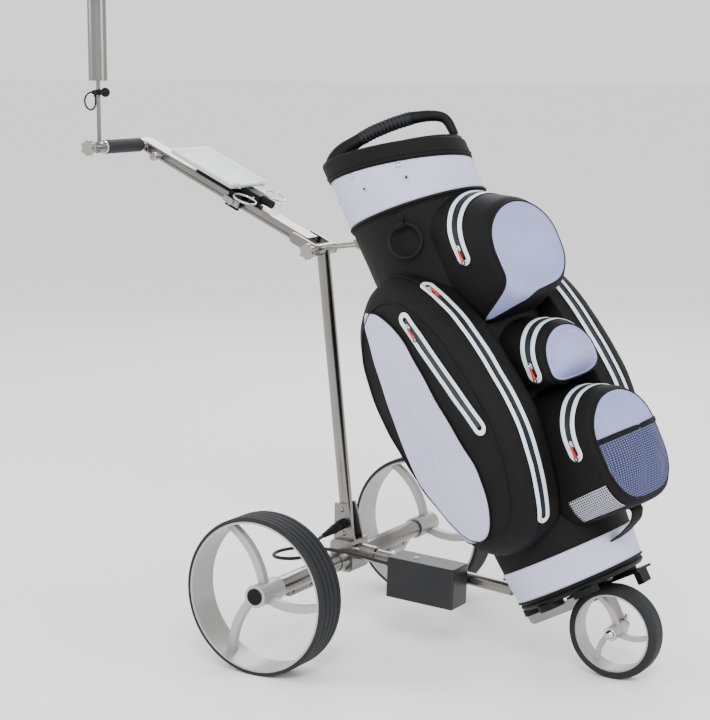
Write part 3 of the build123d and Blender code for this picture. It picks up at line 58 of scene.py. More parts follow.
BAG_LEAN = 27.5
BAG_FOOT = (489.0, 0.0, 166.0)
BAG_RADIUS = 125.0
TOP_TURN = 25.0
POCKET_TURN = -18.0
COLLAR_TOP, COLLAR_SLANT = 815.0, 13.7
COLLAR_FOOT, COLLAR_FOOT_SLANT = 738.0, 6.4
RIM_TOP = 852.0
FACE_ZIP = ((56.0, 530.0), (112.0, 335.0))
EDGE_TOP = (86.0, 574.0)
EDGE_CENTRE = (-360.14, 312.37)
FACE_MIDDLE = np.array([12.7, 363.0])
SOLE_STATION = 118.0
TOWEL_ANGLE, TOWEL_TOP, TOWEL_RADIUS, TOWEL_STAND = -62.0, 706.0, 30.0, 9.0


# ---- finishes --------------------------------------------------------------------------------
COAT_ROUGHNESS = 0.12
BUMP_HEIGHT = 0.0006
BLOTCH_SCALE = 9.0


class Texture(Enum):
    """Kinds of surface detail that a finish can have."""

    BRUSHED = "brushed"
    GRAIN = "grain"
    WEAVE = "weave"
    RIBBED = "ribbed"
    NET = "net"
    KNURL = "knurl"


@dataclass(frozen=True)
class Finish:
    """One surface finish and how its nodes are set."""

    name: str
    color: tuple[float, float, float]
    second: tuple[float, float, float]
    roughness: float = 0.5
    metallic: float = 0.0
    coat: float = 0.0
    texture: Texture = Texture.GRAIN
    scale: float = 400.0
    bump: float = 0.1
    alpha: float = 1.0
    specular: float = 0.5

    def material(self) -> bpy.types.Material:
        """Make the material once and return it.

        Returns:
            The Blender material with this finish's name.
        """
        made = bpy.data.materials.get(self.name)
        if made:
            return made
        made = bpy.data.materials.new(self.name)
        made.use_nodes = True
        tree = made.node_tree
        shader = tree.nodes["Principled BSDF"]
        shader.inputs["Metallic"].default_value = self.metallic
        shader.inputs["Coat Weight"].default_value = self.coat
        shader.inputs["Coat Roughness"].default_value = COAT_ROUGHNESS
        shader.inputs["Specular IOR Level"].default_value = self.specular
        shader.inputs["Alpha"].default_value = self.alpha
        where = tree.nodes.new("ShaderNodeTexCoord")
        broad = self._noise(tree, where, BLOTCH_SCALE, 4.0)
        fine = self._fine(tree, where)
        self._blend_color(tree, shader, broad, fine)
        self._roughness(tree, shader, broad)
        bump = tree.nodes.new("ShaderNodeBump")
        bump.inputs["Strength"].default_value = self.bump
        bump.inputs["Distance"].default_value = BUMP_HEIGHT
        tree.links.new(fine, bump.inputs["Height"])
        tree.links.new(bump.outputs["Normal"], shader.inputs["Normal"])
        return made

    @staticmethod
    def _noise(tree: bpy.types.NodeTree, where: bpy.types.Node, scale: float, detail: float,
               stretch: Sequence[float] = (1, 1, 1)) -> bpy.types.NodeSocket:
        """Noise on object coordinates, stretched along the axes.

        Args:
            tree: the material's nodes.
            where: its texture coordinate node.
            scale: how small the noise is.
            detail: how many finer layers it has.
            stretch: scale along each axis.

        Returns:
            The noise's value.
        """
        turn = tree.nodes.new("ShaderNodeMapping")
        turn.inputs["Scale"].default_value = stretch
        noise = tree.nodes.new("ShaderNodeTexNoise")
        noise.inputs["Scale"].default_value = scale
        noise.inputs["Detail"].default_value = detail
        tree.links.new(where.outputs["Object"], turn.inputs["Vector"])
        tree.links.new(turn.outputs["Vector"], noise.inputs["Vector"])
        return noise.outputs["Fac"]

    def _fine(self, tree: bpy.types.NodeTree, where: bpy.types.Node) -> bpy.types.NodeSocket:
        """The small-scale height pattern of this finish's texture.

        Args:
            tree: the material's nodes.
            where: its texture coordinate node.

        Returns:
            The pattern's value.
        """
        if self.texture is Texture.BRUSHED:
            return self._noise(tree, where, self.scale, 3.0, (1.0, 0.06, 0.3))
        if self.texture is Texture.GRAIN:
            return self._noise(tree, where, self.scale, 2.0)
        if self.texture is Texture.RIBBED:
            return self._wave(tree, where, "UV", "X", self.scale)
        if self.texture is Texture.NET:
            cell = tree.nodes.new("ShaderNodeTexVoronoi")
            cell.feature = "DISTANCE_TO_EDGE"
            cell.inputs["Scale"].default_value = self.scale
            cell.inputs["Randomness"].default_value = 0.12
            tree.links.new(where.outputs["UV"], cell.inputs["Vector"])
            edge = tree.nodes.new("ShaderNodeMapRange")
            edge.inputs["From Min"].default_value = 0.1
            edge.inputs["From Max"].default_value = 0.2
            tree.links.new(cell.outputs["Distance"], edge.inputs["Value"])
            return edge.outputs["Result"]
        coords = "Object" if self.texture is Texture.KNURL else "UV"
        warp = self._wave(tree, where, coords, "X", self.scale)
        weft = self._wave(tree, where, coords, "Y", self.scale)
        both = tree.nodes.new("ShaderNodeMath")
        both.operation = "MULTIPLY"
        tree.links.new(warp, both.inputs[0])
        tree.links.new(weft, both.inputs[1])
        return both.outputs["Value"]

    @staticmethod
    def _wave(tree: bpy.types.NodeTree, where: bpy.types.Node, coords: str, axis: str,
              scale: float) -> bpy.types.NodeSocket:
        """Even bands across one axis of the given coordinates.

        Args:
            tree: the material's nodes.
            where: its texture coordinate node.
            coords: which of that node's outputs is read.
            axis: X or Y.
            scale: how many bands there are to a length.

        Returns:
            The bands' value.
        """
        wave = tree.nodes.new("ShaderNodeTexWave")
        wave.bands_direction = axis
        wave.inputs["Scale"].default_value = scale
        wave.inputs["Distortion"].default_value = 0.4
        tree.links.new(where.outputs[coords], wave.inputs["Vector"])
        return wave.outputs["Fac"]

    def _blend_color(self, tree: bpy.types.NodeTree, shader: bpy.types.Node,
                     broad: bpy.types.NodeSocket, fine: bpy.types.NodeSocket) -> None:
        """Colour that moves between the finish's two colours.

        Args:
            tree: the material's nodes.
            shader: its surface shader.
            broad: slow noise over the piece.
            fine: the texture's pattern, which a net's holes follow.
        """
        mix = tree.nodes.new("ShaderNodeMix")
        mix.data_type = "RGBA"
        mix.inputs["A"].default_value = (*self.color, 1)
        mix.inputs["B"].default_value = (*self.second, 1)
        tree.links.new(fine if self.texture is Texture.NET else broad, mix.inputs["Factor"])
        tree.links.new(mix.outputs["Result"], shader.inputs["Base Color"])

    def _roughness(self, tree: bpy.types.NodeTree, shader: bpy.types.Node,
                   broad: bpy.types.NodeSocket) -> None:
        """Roughness that varies a little over the surface.

        Args:
            tree: the material's nodes.
            shader: its surface shader.
            broad: slow noise over the piece.
        """
        spread = tree.nodes.new("ShaderNodeMapRange")
        spread.inputs["To Min"].default_value = max(self.roughness - 0.06, 0.03)
        spread.inputs["To Max"].default_value = min(self.roughness + 0.08, 1.0)
        tree.links.new(broad, spread.inputs["Value"])
        tree.links.new(spread.outputs["Result"], shader.inputs["Roughness"])


STEEL = Finish("brushed_stainless", (0.165, 0.158, 0.148), (0.27, 0.262, 0.25), 0.24, 1.0,
               texture=Texture.BRUSHED, scale=260, bump=0.12)
CHROME = Finish("polished_chrome", (0.50, 0.50, 0.50), (0.6, 0.6, 0.6), 0.1, 1.0, scale=60, bump=0.02)
SATIN = Finish("satin_knob_metal", (0.27, 0.27, 0.265), (0.34, 0.34, 0.335), 0.3, 0.95,
               scale=300, bump=0.05)
SILVER = Finish("silver_rim", (0.33, 0.33, 0.33), (0.40, 0.40, 0.395), 0.38, 0.5, scale=900, bump=0.08)
TYRE = Finish("grooved_tyre", (0.012, 0.012, 0.013), (0.02, 0.02, 0.021), 0.68,
              scale=700, bump=0.25, specular=0.2)
PLASTIC = Finish("moulded_plastic", (0.003, 0.003, 0.0033), (0.006, 0.006, 0.0066), 0.5,
                 scale=900, bump=0.2, specular=0.12)
CASE = Finish("battery_black", (0.006, 0.006, 0.007), (0.012, 0.012, 0.013), 0.36,
              scale=500, bump=0.15, specular=0.35)
TRAY = Finish("grey_tray", (0.36, 0.37, 0.38), (0.44, 0.45, 0.46), 0.4, scale=600, bump=0.08)
CLEAR = Finish("clear_moulded_lid", (0.75, 0.77, 0.78), (0.8, 0.81, 0.82), 0.08,
               coat=0.3, alpha=0.28, scale=100, bump=0.02)
GRIP = Finish("ribbed_grip_rubber", (0.010, 0.011, 0.014), (0.020, 0.022, 0.026), 0.6, texture=Texture.KNURL,
              scale=110, bump=0.9, specular=0.2)
CORD = Finish("black_rubber_cord", (0.006, 0.006, 0.006), (0.011, 0.011, 0.011), 0.5, scale=900, bump=0.15,
              specular=0.3)
CLOTH = Finish("black_nylon", (0.0022, 0.0019, 0.0021), (0.0055, 0.0046, 0.0050), 0.62,
               texture=Texture.WEAVE, scale=330, bump=0.35, specular=0.14)
LILAC = Finish("pale_lilac_nylon", (0.43, 0.415, 0.59), (0.50, 0.485, 0.65), 0.58,
               texture=Texture.WEAVE, scale=330, bump=0.25, specular=0.25)
BLUISH = Finish("lilac_front_nylon", (0.20, 0.225, 0.43), (0.31, 0.335, 0.55), 0.5,
                texture=Texture.WEAVE, scale=330, bump=0.25, specular=0.25)
RIBS = Finish("ribbed_collar", (0.46, 0.445, 0.62), (0.53, 0.52, 0.68), 0.55,
              texture=Texture.RIBBED, scale=120, bump=0.5, specular=0.25)
TAPE = Finish("pale_zip_tape", (0.60, 0.69, 0.76), (0.68, 0.77, 0.83), 0.4, coat=0.1, scale=500, bump=0.1)
COIL = Finish("zip_coil", (0.005, 0.007, 0.012), (0.011, 0.014, 0.020), 0.4, texture=Texture.RIBBED,
              scale=260, bump=1.0, specular=0.3)
WEBBING = Finish("black_webbing", (0.003, 0.0028, 0.003), (0.0075, 0.0068, 0.0075), 0.7,
                 texture=Texture.WEAVE, scale=150, bump=0.9, specular=0.14)
RED = Finish("red_pull_cord", (0.55, 0.006, 0.012), (0.68, 0.02, 0.025), 0.6, texture=Texture.GRAIN,
             scale=1500, bump=0.8, specular=0.2)
FLOOR = Finish("studio_floor", (0.90, 0.90, 0.90), (0.92, 0.92, 0.92), 0.7, scale=40, bump=0.02, specular=0.1)
DARK_NET = Finish("dark_net", (0.006, 0.006, 0.010), (0.10, 0.115, 0.25), 0.6, texture=Texture.NET,
                  scale=260, bump=0.8, specular=0.2)
PALE_NET = Finish("pale_net", (0.45, 0.46, 0.52), (0.006, 0.006, 0.007), 0.6, texture=Texture.NET,
                  scale=190, bump=0.8, specular=0.2)


# ---- mesh helpers ----------------------------------------------------------------------------
def new_piece(name: str, data: bpy.types.ID, finish: Finish, body: str) -> bpy.types.Object:
    """Put a mesh or curve in the scene as a piece.

    Args:
        name: name of the piece.
        data: its mesh or curve.
        finish: its surface finish.
        body: the CAD body that it moves with.

    Returns:
        The new object.
    """
    piece = bpy.data.objects.new(name, data)
    bpy.context.scene.collection.objects.link(piece)
    piece.data.materials.append(finish.material())
    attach(piece, body)
    return piece


def grid_object(name: str, points: np.ndarray, finish: Finish, body: str, wrap_u: bool = False,
                wrap_v: bool = False, laid_out: np.ndarray | None = None) -> bpy.types.Object:
    """Make a smooth quad surface from a grid of points and let it ride on a body.

    The UV map holds metres run along the middle row and column, so weaves keep their size.

    Args:
        name: name of the piece.
        points: array of shape (rows, columns, 3), in metres.
        finish: its surface finish.
        body: the CAD body that it moves with.
        wrap_u: whether the last row joins the first.
        wrap_v: whether the last column joins the first.
        laid_out: places in the UV map in metres, where the grid's own lengths don't suit.

    Returns:
        The new object.
    """
    rows, columns = points.shape[:2]
    index = np.arange(rows * columns).reshape(rows, columns)
    down = np.roll(index, -1, 0) if wrap_u else index[1:]
    here = index if wrap_u else index[:-1]
    right_here = np.roll(here, -1, 1) if wrap_v else here[:, 1:]
    right_down = np.roll(down, -1, 1) if wrap_v else down[:, 1:]
    if not wrap_v:
        here, down = here[:, :-1], down[:, :-1]
    faces = np.stack([here, down, right_down, right_here], -1).reshape(-1, 4)
    mesh = bpy.data.meshes.new(name)
    mesh.from_pydata(points.reshape(-1, 3).tolist(), [], faces.tolist())
    along = np.linalg.norm(np.diff(points, axis=0, prepend=points[:1]), axis=2).cumsum(0)
    over = np.linalg.norm(np.diff(points, axis=1, prepend=points[:, :1]), axis=2).cumsum(1)
    uv = (np.stack([over, along], -1) if laid_out is None else laid_out).reshape(-1, 2)
    layer = mesh.uv_layers.new(name="UVMap")
    loops = np.empty(len(mesh.loops), np.int32)
    mesh.loops.foreach_get("vertex_index", loops)
    layer.data.foreach_set("uv", uv[loops].ravel().astype(np.float32))
    mesh.polygons.foreach_set("use_smooth", np.ones(len(mesh.polygons), bool))
    mesh.update()
    return new_piece(name, mesh, finish, body)


def merge_poles(piece: bpy.types.Object, distance: float = 1e-5) -> bpy.types.Object:
    """Close seams and poles and point the faces outwards.

    Args:
        piece: the object to mend.
        distance: vertices nearer than this become one.

    Returns:
        The same object.
    """
    work = bmesh.new()
    work.from_mesh(piece.data)
    bmesh.ops.remove_doubles(work, verts=work.verts, dist=distance)
    bmesh.ops.dissolve_degenerate(work, edges=work.edges, dist=distance * 0.5)
    bmesh.ops.recalc_face_normals(work, faces=work.faces)
    work.to_mesh(piece.data)
    work.free()
    return piece


def thicken(piece: bpy.types.Object, thickness: float) -> None:
    """Give an open surface a wall in metres, grown along its normals."""
    wall = piece.modifiers.new("wall", "SOLIDIFY")
    wall.thickness = thickness
    wall.offset = 1.0


def unit(vectors: np.ndarray) -> np.ndarray:
    """Vectors scaled to length one along the last axis."""
    return vectors / np.maximum(np.linalg.norm(vectors, axis=-1, keepdims=True), 1e-12)


def carried(path: np.ndarray, normal: np.ndarray, section: np.ndarray, closed: bool) -> np.ndarray:
    """Carry a flat section along a path.

    Each row is path + u * side + v * normal, where side is square to the path and the normal.

    Args:
        path: points of shape (n, 3).
        normal: the surface's normals along it, of shape (n, 3).
        section: (u, v) points of shape (m, 2), or (n, m, 2) where it changes along the path.
        closed: whether the path is a loop.

    Returns:
        Points of shape (n, m, 3).
    """
    if closed:
        run = np.roll(path, -1, 0) - np.roll(path, 1, 0)
    else:
        run = np.gradient(path, axis=0)
    run = unit(run)
    side = unit(np.cross(run, normal))
    up = unit(np.cross(side, run))
    if section.ndim == 2:
        section = np.broadcast_to(section, (len(path), *section.shape))
    return path[:, None] + section[..., :1] * side[:, None] + section[..., 1:] * up[:, None]


def round_section(radius: float, count: int = 10) -> np.ndarray:
    """Circle of (u, v) points."""
    turn = np.linspace(0, 2 * np.pi, count, endpoint=False)
    return radius * np.stack([np.cos(turn), np.sin(turn)], -1)


def signed_power(value: np.ndarray, power: float | np.ndarray) -> np.ndarray:
    """A sine or cosine raised to a power with its sign kept, as a superellipse needs."""
    return np.sign(value) * np.abs(value) ** power


def strap_section(width: float, thickness: float) -> np.ndarray:
    """Flat oval of (u, v) points that stands on the surface, from a superellipse.

    Args:
        width: across the surface.
        thickness: how far it stands up from it.

    Returns:
        Points of shape (16, 2).
    """
    turn = np.linspace(0, 2 * np.pi, 16, endpoint=False)
    u = width / 2 * signed_power(np.cos(turn), 0.35)
    v = thickness / 2 * (1 + signed_power(np.sin(turn), 0.6))
    return np.stack([u, v], -1)


def drawn_in(points: np.ndarray, axis: int = 0) -> np.ndarray:
    """Points all brought to their own middle along an axis, for a pole that closes a grid."""
    return np.broadcast_to(points.mean(axis, keepdims=True), points.shape)


def ends_closed(points: np.ndarray) -> np.ndarray:
    """Add a row at each end of a tube that draws its section to the middle."""
    return np.concatenate([drawn_in(points[:1], 1), points, drawn_in(points[-1:], 1)])


def along_surface(name: str, path: np.ndarray, normal: np.ndarray, section: np.ndarray, finish: Finish,
                  body: str, closed: bool) -> bpy.types.Object:
    """Piping, tape or a strap that follows a surface.

    Args:
        name: name of the piece.
        path: points on the surface.
        normal: the surface's normals there.
        section: its (u, v) section.
        finish: its finish.
        body: the body it rides on.
        closed: whether it is a loop.

    Returns:
        The new object.
    """
    points = carried(path, normal, section, closed)
    if not closed:
        points = ends_closed(points)
    piece = grid_object(name, points, finish, body, wrap_u=closed, wrap_v=True)
    return merge_poles(piece)


def ripple(points: np.ndarray, size: float) -> np.ndarray:
    """Slow waves that make cloth uneven: a sum of sines of the three coordinates.

    Args:
        points: places in metres.
        size: about the largest height in metres.

    Returns:
        Height of the waves at each place.
    """
    x, y, z = np.moveaxis(points, -1, 0) * 55
    wave = np.sin(x * 1.3 + 2 * np.sin(z * 0.7)) + np.sin(z * 1.7 + y * 1.1) + 0.6 * np.sin(y * 2.9 - x * 2.3)
    return size * wave / 2.6


def smooth_loop(points: Sequence[tuple[float, float]], count: int) -> np.ndarray:
    """Closed curve through points: a Catmull-Rom spline, point by point in one array.

    Args:
        points: the corners it passes through.
        count: how many points to return.

    Returns:
        Array of shape (count, 2), evenly spaced along its length.
    """
    corner = np.asarray(points, float)
    share = np.linspace(0, len(corner), 40 * len(corner), endpoint=False)
    k = share.astype(int)
    t = (share - k)[:, None]
    a, b, c, d = (corner[(k + step) % len(corner)] for step in (-1, 0, 1, 2))
    curve = 0.5 * (2 * b + (c - a) * t + (2 * a - 5 * b + 4 * c - d) * t**2 + (3 * b - a - 3 * c + d) * t**3)
    return even(np.concatenate([curve, curve[:1]]), count + 1)[:-1]


def smoothed(curve: np.ndarray, window: int) -> np.ndarray:
    """Open curve with its corners rounded by a moving average and its ends kept.

    Args:
        curve: points in order.
        window: odd number of points that are averaged.

    Returns:
        As many points as came in.
    """
    kernel, kept = np.ones(window) / window, window // 2
    inner = np.stack([np.convolve(column, kernel, "valid") for column in curve.T], -1)
    return np.concatenate([curve[:kept], inner, curve[-kept:]])


def racetrack(count: int) -> tuple[np.ndarray, np.ndarray, np.ndarray]:
    """Walk down one side of a zip, round its end, up the other side and round again.

    Args:
        count: how many points the walk has.

    Returns:
        The way (1 down, -1 back), the share of that side walked, and the turn round its end.
    """
    walked = np.linspace(0, 4, count, endpoint=False)
    leg = walked % 2
    return np.where(walked < 2, 1, -1), leg.clip(0, 1), np.pi * (leg - 1).clip(0, 1)


def even(curve: np.ndarray, count: int) -> np.ndarray:
    """Points evenly spaced by length along an open curve.

    Args:
        curve: points in order.
        count: how many points to return.

    Returns:
        Array with the same columns as the curve's.
    """
    length = np.linalg.norm(np.diff(curve, axis=0), axis=1).cumsum()
    length = np.concatenate([[0.0], length])
    want = np.linspace(0, length[-1], count)
    return np.stack([np.interp(want, length, curve[:, k]) for k in range(curve.shape[1])], -1)


@dataclass(frozen=True)
class BagFrame:
    """The bag's own axes, turned about its leaning axis."""

    turn: float

    def axes(self) -> tuple[np.ndarray, np.ndarray, np.ndarray]:
        """Forward, left and up directions."""
        lean, yaw = np.radians(BAG_LEAN), np.radians(self.turn)
        forward = np.array([np.cos(lean) * np.cos(yaw), np.sin(yaw), np.sin(lean) * np.cos(yaw)])
        up = np.array([-np.sin(lean), 0.0, np.cos(lean)])
        return forward, np.cross(up, forward), up

    def place(self, points: np.ndarray) -> np.ndarray:
        """Points (station, side, w) in mm, brought to the row frame in metres.

        Args:
            points: places in the bag's own millimetres.

        Returns:
            The same places in the row frame.
        """
        forward, left, up = self.axes()
        foot = np.array(BAG_FOOT) * MM + np.array([AXLE_X, 0, 0])
        local = np.asarray(points, float) * MM
        return foot + local[..., :1] * forward + local[..., 1:2] * left + local[..., 2:] * up


COLUMN = BagFrame(POCKET_TURN)
MOUTH = BagFrame(TOP_TURN)
Laid = tuple[np.ndarray, np.ndarray]


def normals_of(surface: Callable[[np.ndarray, np.ndarray], np.ndarray], u: np.ndarray,
               v: np.ndarray, out: float) -> np.ndarray:
    """Unit normals of a surface from small steps in its two parameters.

    Args:
        surface: function of (u, v) to points.
        u: first parameter.
        v: second parameter.
        out: 1 or -1, whichever points outwards.

    Returns:
        Normals of the same shape as the points.
    """
    step = 1e-3
    du = surface(u + step, v) - surface(u - step, v)
    dv = surface(u, v + step) - surface(u, v - step)
    return out * unit(np.cross(du, dv))


# ---- soft bag --------------------------------------------------------------------------------
def lay_zip(name: str, track: Laid, line: Laid, tape: float, coil: float) -> None:
    """Pale tape in a racetrack round a dark zip coil.

    Args:
        name: first part of both names.
        track: path and normals of the tape.
        line: path and normals of the coil.
        tape: width of the tape in metres.
        coil: width of the coil in metres.
    """
    along_surface(f"{name}_tape", *track, strap_section(tape, 0.0014), TAPE, "bag", True)
    along_surface(f"{name}_coil", *line, strap_section(coil, 0.0016), COIL, "bag", False)


def padded_pocket(name: str, points: np.ndarray, node: str) -> None:
    """Padded black cloth body that stands for a CAD pocket, closed at its root.

    Args:
        name: name of the piece.
        points: its skin, from the root to the middle of its face.
        node: CAD node that it replaces.
    """
    piece = grid_object(name, np.concatenate([drawn_in(points[:, :1]), points], 1), CLOTH, "bag", wrap_u=True)
    merge_poles(piece)
    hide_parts(node)


@dataclass
class FrontPocket:
    """A round-topped pocket of the front column: arch-shaped walls and a crowned front panel.

    The outline angle runs from the top (0) over the cart's right side (quarter turn) and the bottom.
    """

    name: str
    half: float
    centre: float
    zip_station: float
    slope: float
    edge: float
    crown: float
    root_depth: float
    front_depth: float
    tip: float
    root: float = 70.0
    round_over: float = 15.0
    top_ahead: float = 6.0

    def foot_shape(self, station: np.ndarray | float) -> Laid:
        """Depth of the outline's lower part at a station, and how square it is."""
        along = np.clip((station - SOLE_STATION) / (self.edge - SOLE_STATION), 0, 1)
        return self.root_depth + (self.front_depth - self.root_depth) * along, 5.2 - 2.2 * along

    def ring(self, angle: np.ndarray, station: np.ndarray, share: np.ndarray) -> np.ndarray:
        """Outline at a station: a half circle over a superellipse that flattens towards the root.

        Args:
            angle: outline angle.
            station: distance forward of the bag's axis.
            share: size compared with the full outline.

        Returns:
            Points (station, side, w).
        """
        middle = self.centre + self.slope * (self.zip_station - station)
        depth, power = self.foot_shape(station)
        s, c = np.sin(angle), np.cos(angle)
        side = np.where(c >= 0, self.half * s, self.half * signed_power(s, 2 / power))
        rise = np.where(c >= 0, self.half * c, -depth * np.abs(c) ** (2 / power))
        return np.stack([station, -side * share, middle + rise * share], -1)

    def skin(self, angle: np.ndarray, run: np.ndarray) -> np.ndarray:
        """The whole outside: wall for run 0 to 0.5, rounded edge to 0.62, front panel to 1.

        Args:
            angle: outline angle.
            run: from the root (0) to the middle of the front panel (1).

        Returns:
            Points (station, side, w) in mm.
        """
        angle, run = np.broadcast_arrays(np.asarray(angle, float), np.asarray(run, float))
        wall = np.clip(run / 0.5, 0, 1)
        bend = np.clip((run - 0.5) / 0.12, 0, 1) * np.pi / 2
        inward = np.clip((run - 0.62) / 0.38, 0, 1)
        tilt = self.top_ahead * np.cos(angle)
        front = self.edge - self.round_over + tilt
        station = self.root + (front - self.root) * wall + self.round_over * np.sin(bend)
        share = 1 - self.round_over / self.half * (1 - np.cos(bend))
        share = share * (1 - inward)
        bulge = (self.crown - self.edge) * (1 - (1 - inward) ** 2.2) * np.where(inward > 0, 1, 0)
        points = self.ring(angle, station, share)
        points[..., 0] += bulge - tilt * inward
        points[..., 1] *= 1 + 0.012 * np.sin(3 * angle + self.half)
        return points

    def placed(self, angle: np.ndarray, run: np.ndarray) -> np.ndarray:
        """Skin in the row frame, with slow cloth waves."""
        points = COLUMN.place(self.skin(angle, run))
        points[..., 0] += ripple(points, 0.0005)
        return points

    def run_at(self, station: float) -> float:
        """Run value of a station on the wall."""
        return 0.5 * (station - self.root) / (self.edge - self.round_over - self.root)

    def lifted(self, angle: np.ndarray, run: np.ndarray, gap: float) -> Laid:
        """Points a little outside the skin, and the normals there."""
        normal = normals_of(self.placed, angle, run, 1)
        return self.placed(angle, run) + normal * gap, normal

    def body(self) -> None:
        """Black cloth body, closed at the root and at the middle of the front."""
        angle = np.linspace(0, 2 * np.pi, 121)[:-1, None]
        run = np.concatenate([np.linspace(0, 0.5, 22), np.linspace(0.52, 0.62, 7), np.linspace(0.66, 1, 16)])
        padded_pocket(f"{self.name}_body", self.placed(angle, run[None]), f"{self.name}_front_pocket")

    def panel_edge(self, angle: np.ndarray) -> np.ndarray:
        """Run value of the panel's seam: on the rounded edge, drawn back to a tip low on the right."""
        lean = np.angle(np.exp(1j * (angle - np.radians(146))))
        return 0.585 - self.tip * np.exp(-((lean / 0.30) ** 2))

    def panel(self, finish: Finish) -> None:
        """Front panel of lighter cloth with black piping round it.

        Args:
            finish: the panel's finish.
        """
        angle = np.linspace(0, 2 * np.pi, 181)[:-1, None]
        edge = self.panel_edge(angle)
        share = np.linspace(0, 1, 26)[None]
        run = edge + (1 - edge) * share
        points, _ = self.lifted(angle, np.minimum(run, 0.975), 0.0009)
        points[:, -1] = points[:, -1].mean(0)
        piece = grid_object(f"{self.name}_panel", points, finish, "bag", wrap_u=True)
        thicken(merge_poles(piece, 1e-4), 0.0006)
        path, normal = self.lifted(angle[:, 0], edge[:, 0] - 0.004, 0.0006)
        along_surface(f"{self.name}_piping", path, normal, round_section(0.0022), CLOTH, "bag", True)

    def round_the_arch(self, degrees: np.ndarray) -> np.ndarray:
        """Outline angle for degrees of arc, where a zip runs on straight past the arch's foot.

        Args:
            degrees: arc from the top, over 90 on the straight part.

        Returns:
            Outline angle in radians.
        """
        below = np.radians(np.clip(np.abs(degrees) - 90, 0, None)) * self.half
        depth, power = self.foot_shape(self.zip_station)
        extra = np.arcsin(np.clip((below / depth) ** (power / 2), 0, 1))
        return np.sign(degrees) * (np.radians(np.clip(np.abs(degrees), 0, 90)) + extra)

    def zip_path(self, reach: float, offset: float) -> Laid:
        """Closed racetrack round the zip: two arcs over the arch joined by round ends.

        Args:
            reach: degrees from the top to each round end.
            offset: distance in mm from the zip's line to the racetrack.

        Returns:
            Points and normals.
        """
        forward, share, tip = racetrack(240)
        line = forward * (reach - 2 * reach * share)
        line = line - forward * np.degrees(np.sin(tip) * offset / self.half)
        shift = forward * offset * np.cos(tip)
        run = self.run_at(self.zip_station) + 0.5 * shift / (self.edge - self.round_over - self.root)
        return self.lifted(self.round_the_arch(line), run, 0.0007)

    def zipper(self) -> None:
        """Pale tape round a dark zip coil."""
        reach = 92 + 800 / self.half
        angle = self.round_the_arch(np.linspace(-reach, reach, 180))
        line = self.lifted(angle, np.full_like(angle, self.run_at(self.zip_station)), 0.0004)
        lay_zip(self.name, self.zip_path(reach, 10.5), line, 0.0095, 0.0105)

    def net_pocket(self) -> None:
        """Dark net over the lower half of the front panel, with a binding across its top."""
        angle = np.radians(np.linspace(88, 272, 90))[:, None]
        run = np.linspace(0.575, 0.9999, 30)[None]
        slack = 0.0016 + 0.0035 * np.sin(np.pi * np.linspace(0, 1, 30)[None]) * np.abs(np.sin(angle * 4))
        points, _ = self.lifted(angle, run, slack[..., None])
        flat = self.skin(angle, run)[..., 1:] * MM
        net = grid_object(f"{self.name}_net", points, DARK_NET, "bag", laid_out=flat)
        thicken(merge_poles(net, 1e-4), 0.0005)
        across = np.concatenate([np.linspace(0.57, 0.9999, 40), np.linspace(0.9999, 0.57, 40)[1:]])
        turn = np.radians(np.where(np.arange(79) < 40, 89.0, 271.0))
        path, normal = self.lifted(turn, across, 0.0026)
        section = strap_section(0.009, 0.002)
        along_surface(f"{self.name}_net_binding", path, normal, section, WEBBING, "bag", False)

    def side_net(self) -> None:
        """Pale net patch low on the pocket's right side, at the front corner."""
        angle = np.radians(np.linspace(114, 150, 24))[:, None]
        run = np.linspace(0.20, 0.50, 24)[None]
        points, _ = self.lifted(angle, run, 0.0014)
        flat = self.skin(angle, run)
        flat = np.stack([flat[..., 0], flat[..., 2] - flat[..., 1]], -1) * MM
        net = grid_object(f"{self.name}_side_net", points, PALE_NET, "bag", laid_out=flat)
        thicken(net, 0.0005)


FRONT = [
    FrontPocket("upper", 88, 620, 148, 0.56, 216, 246, 158, 87, 0.40),
    FrontPocket("middle", 70, 382, 174, 0.45, 204, 240, 60, 38, 0.0),
    FrontPocket("lower", 84, 231, 202, 0.35, 250, 279, 168, 124, 0.0),
]


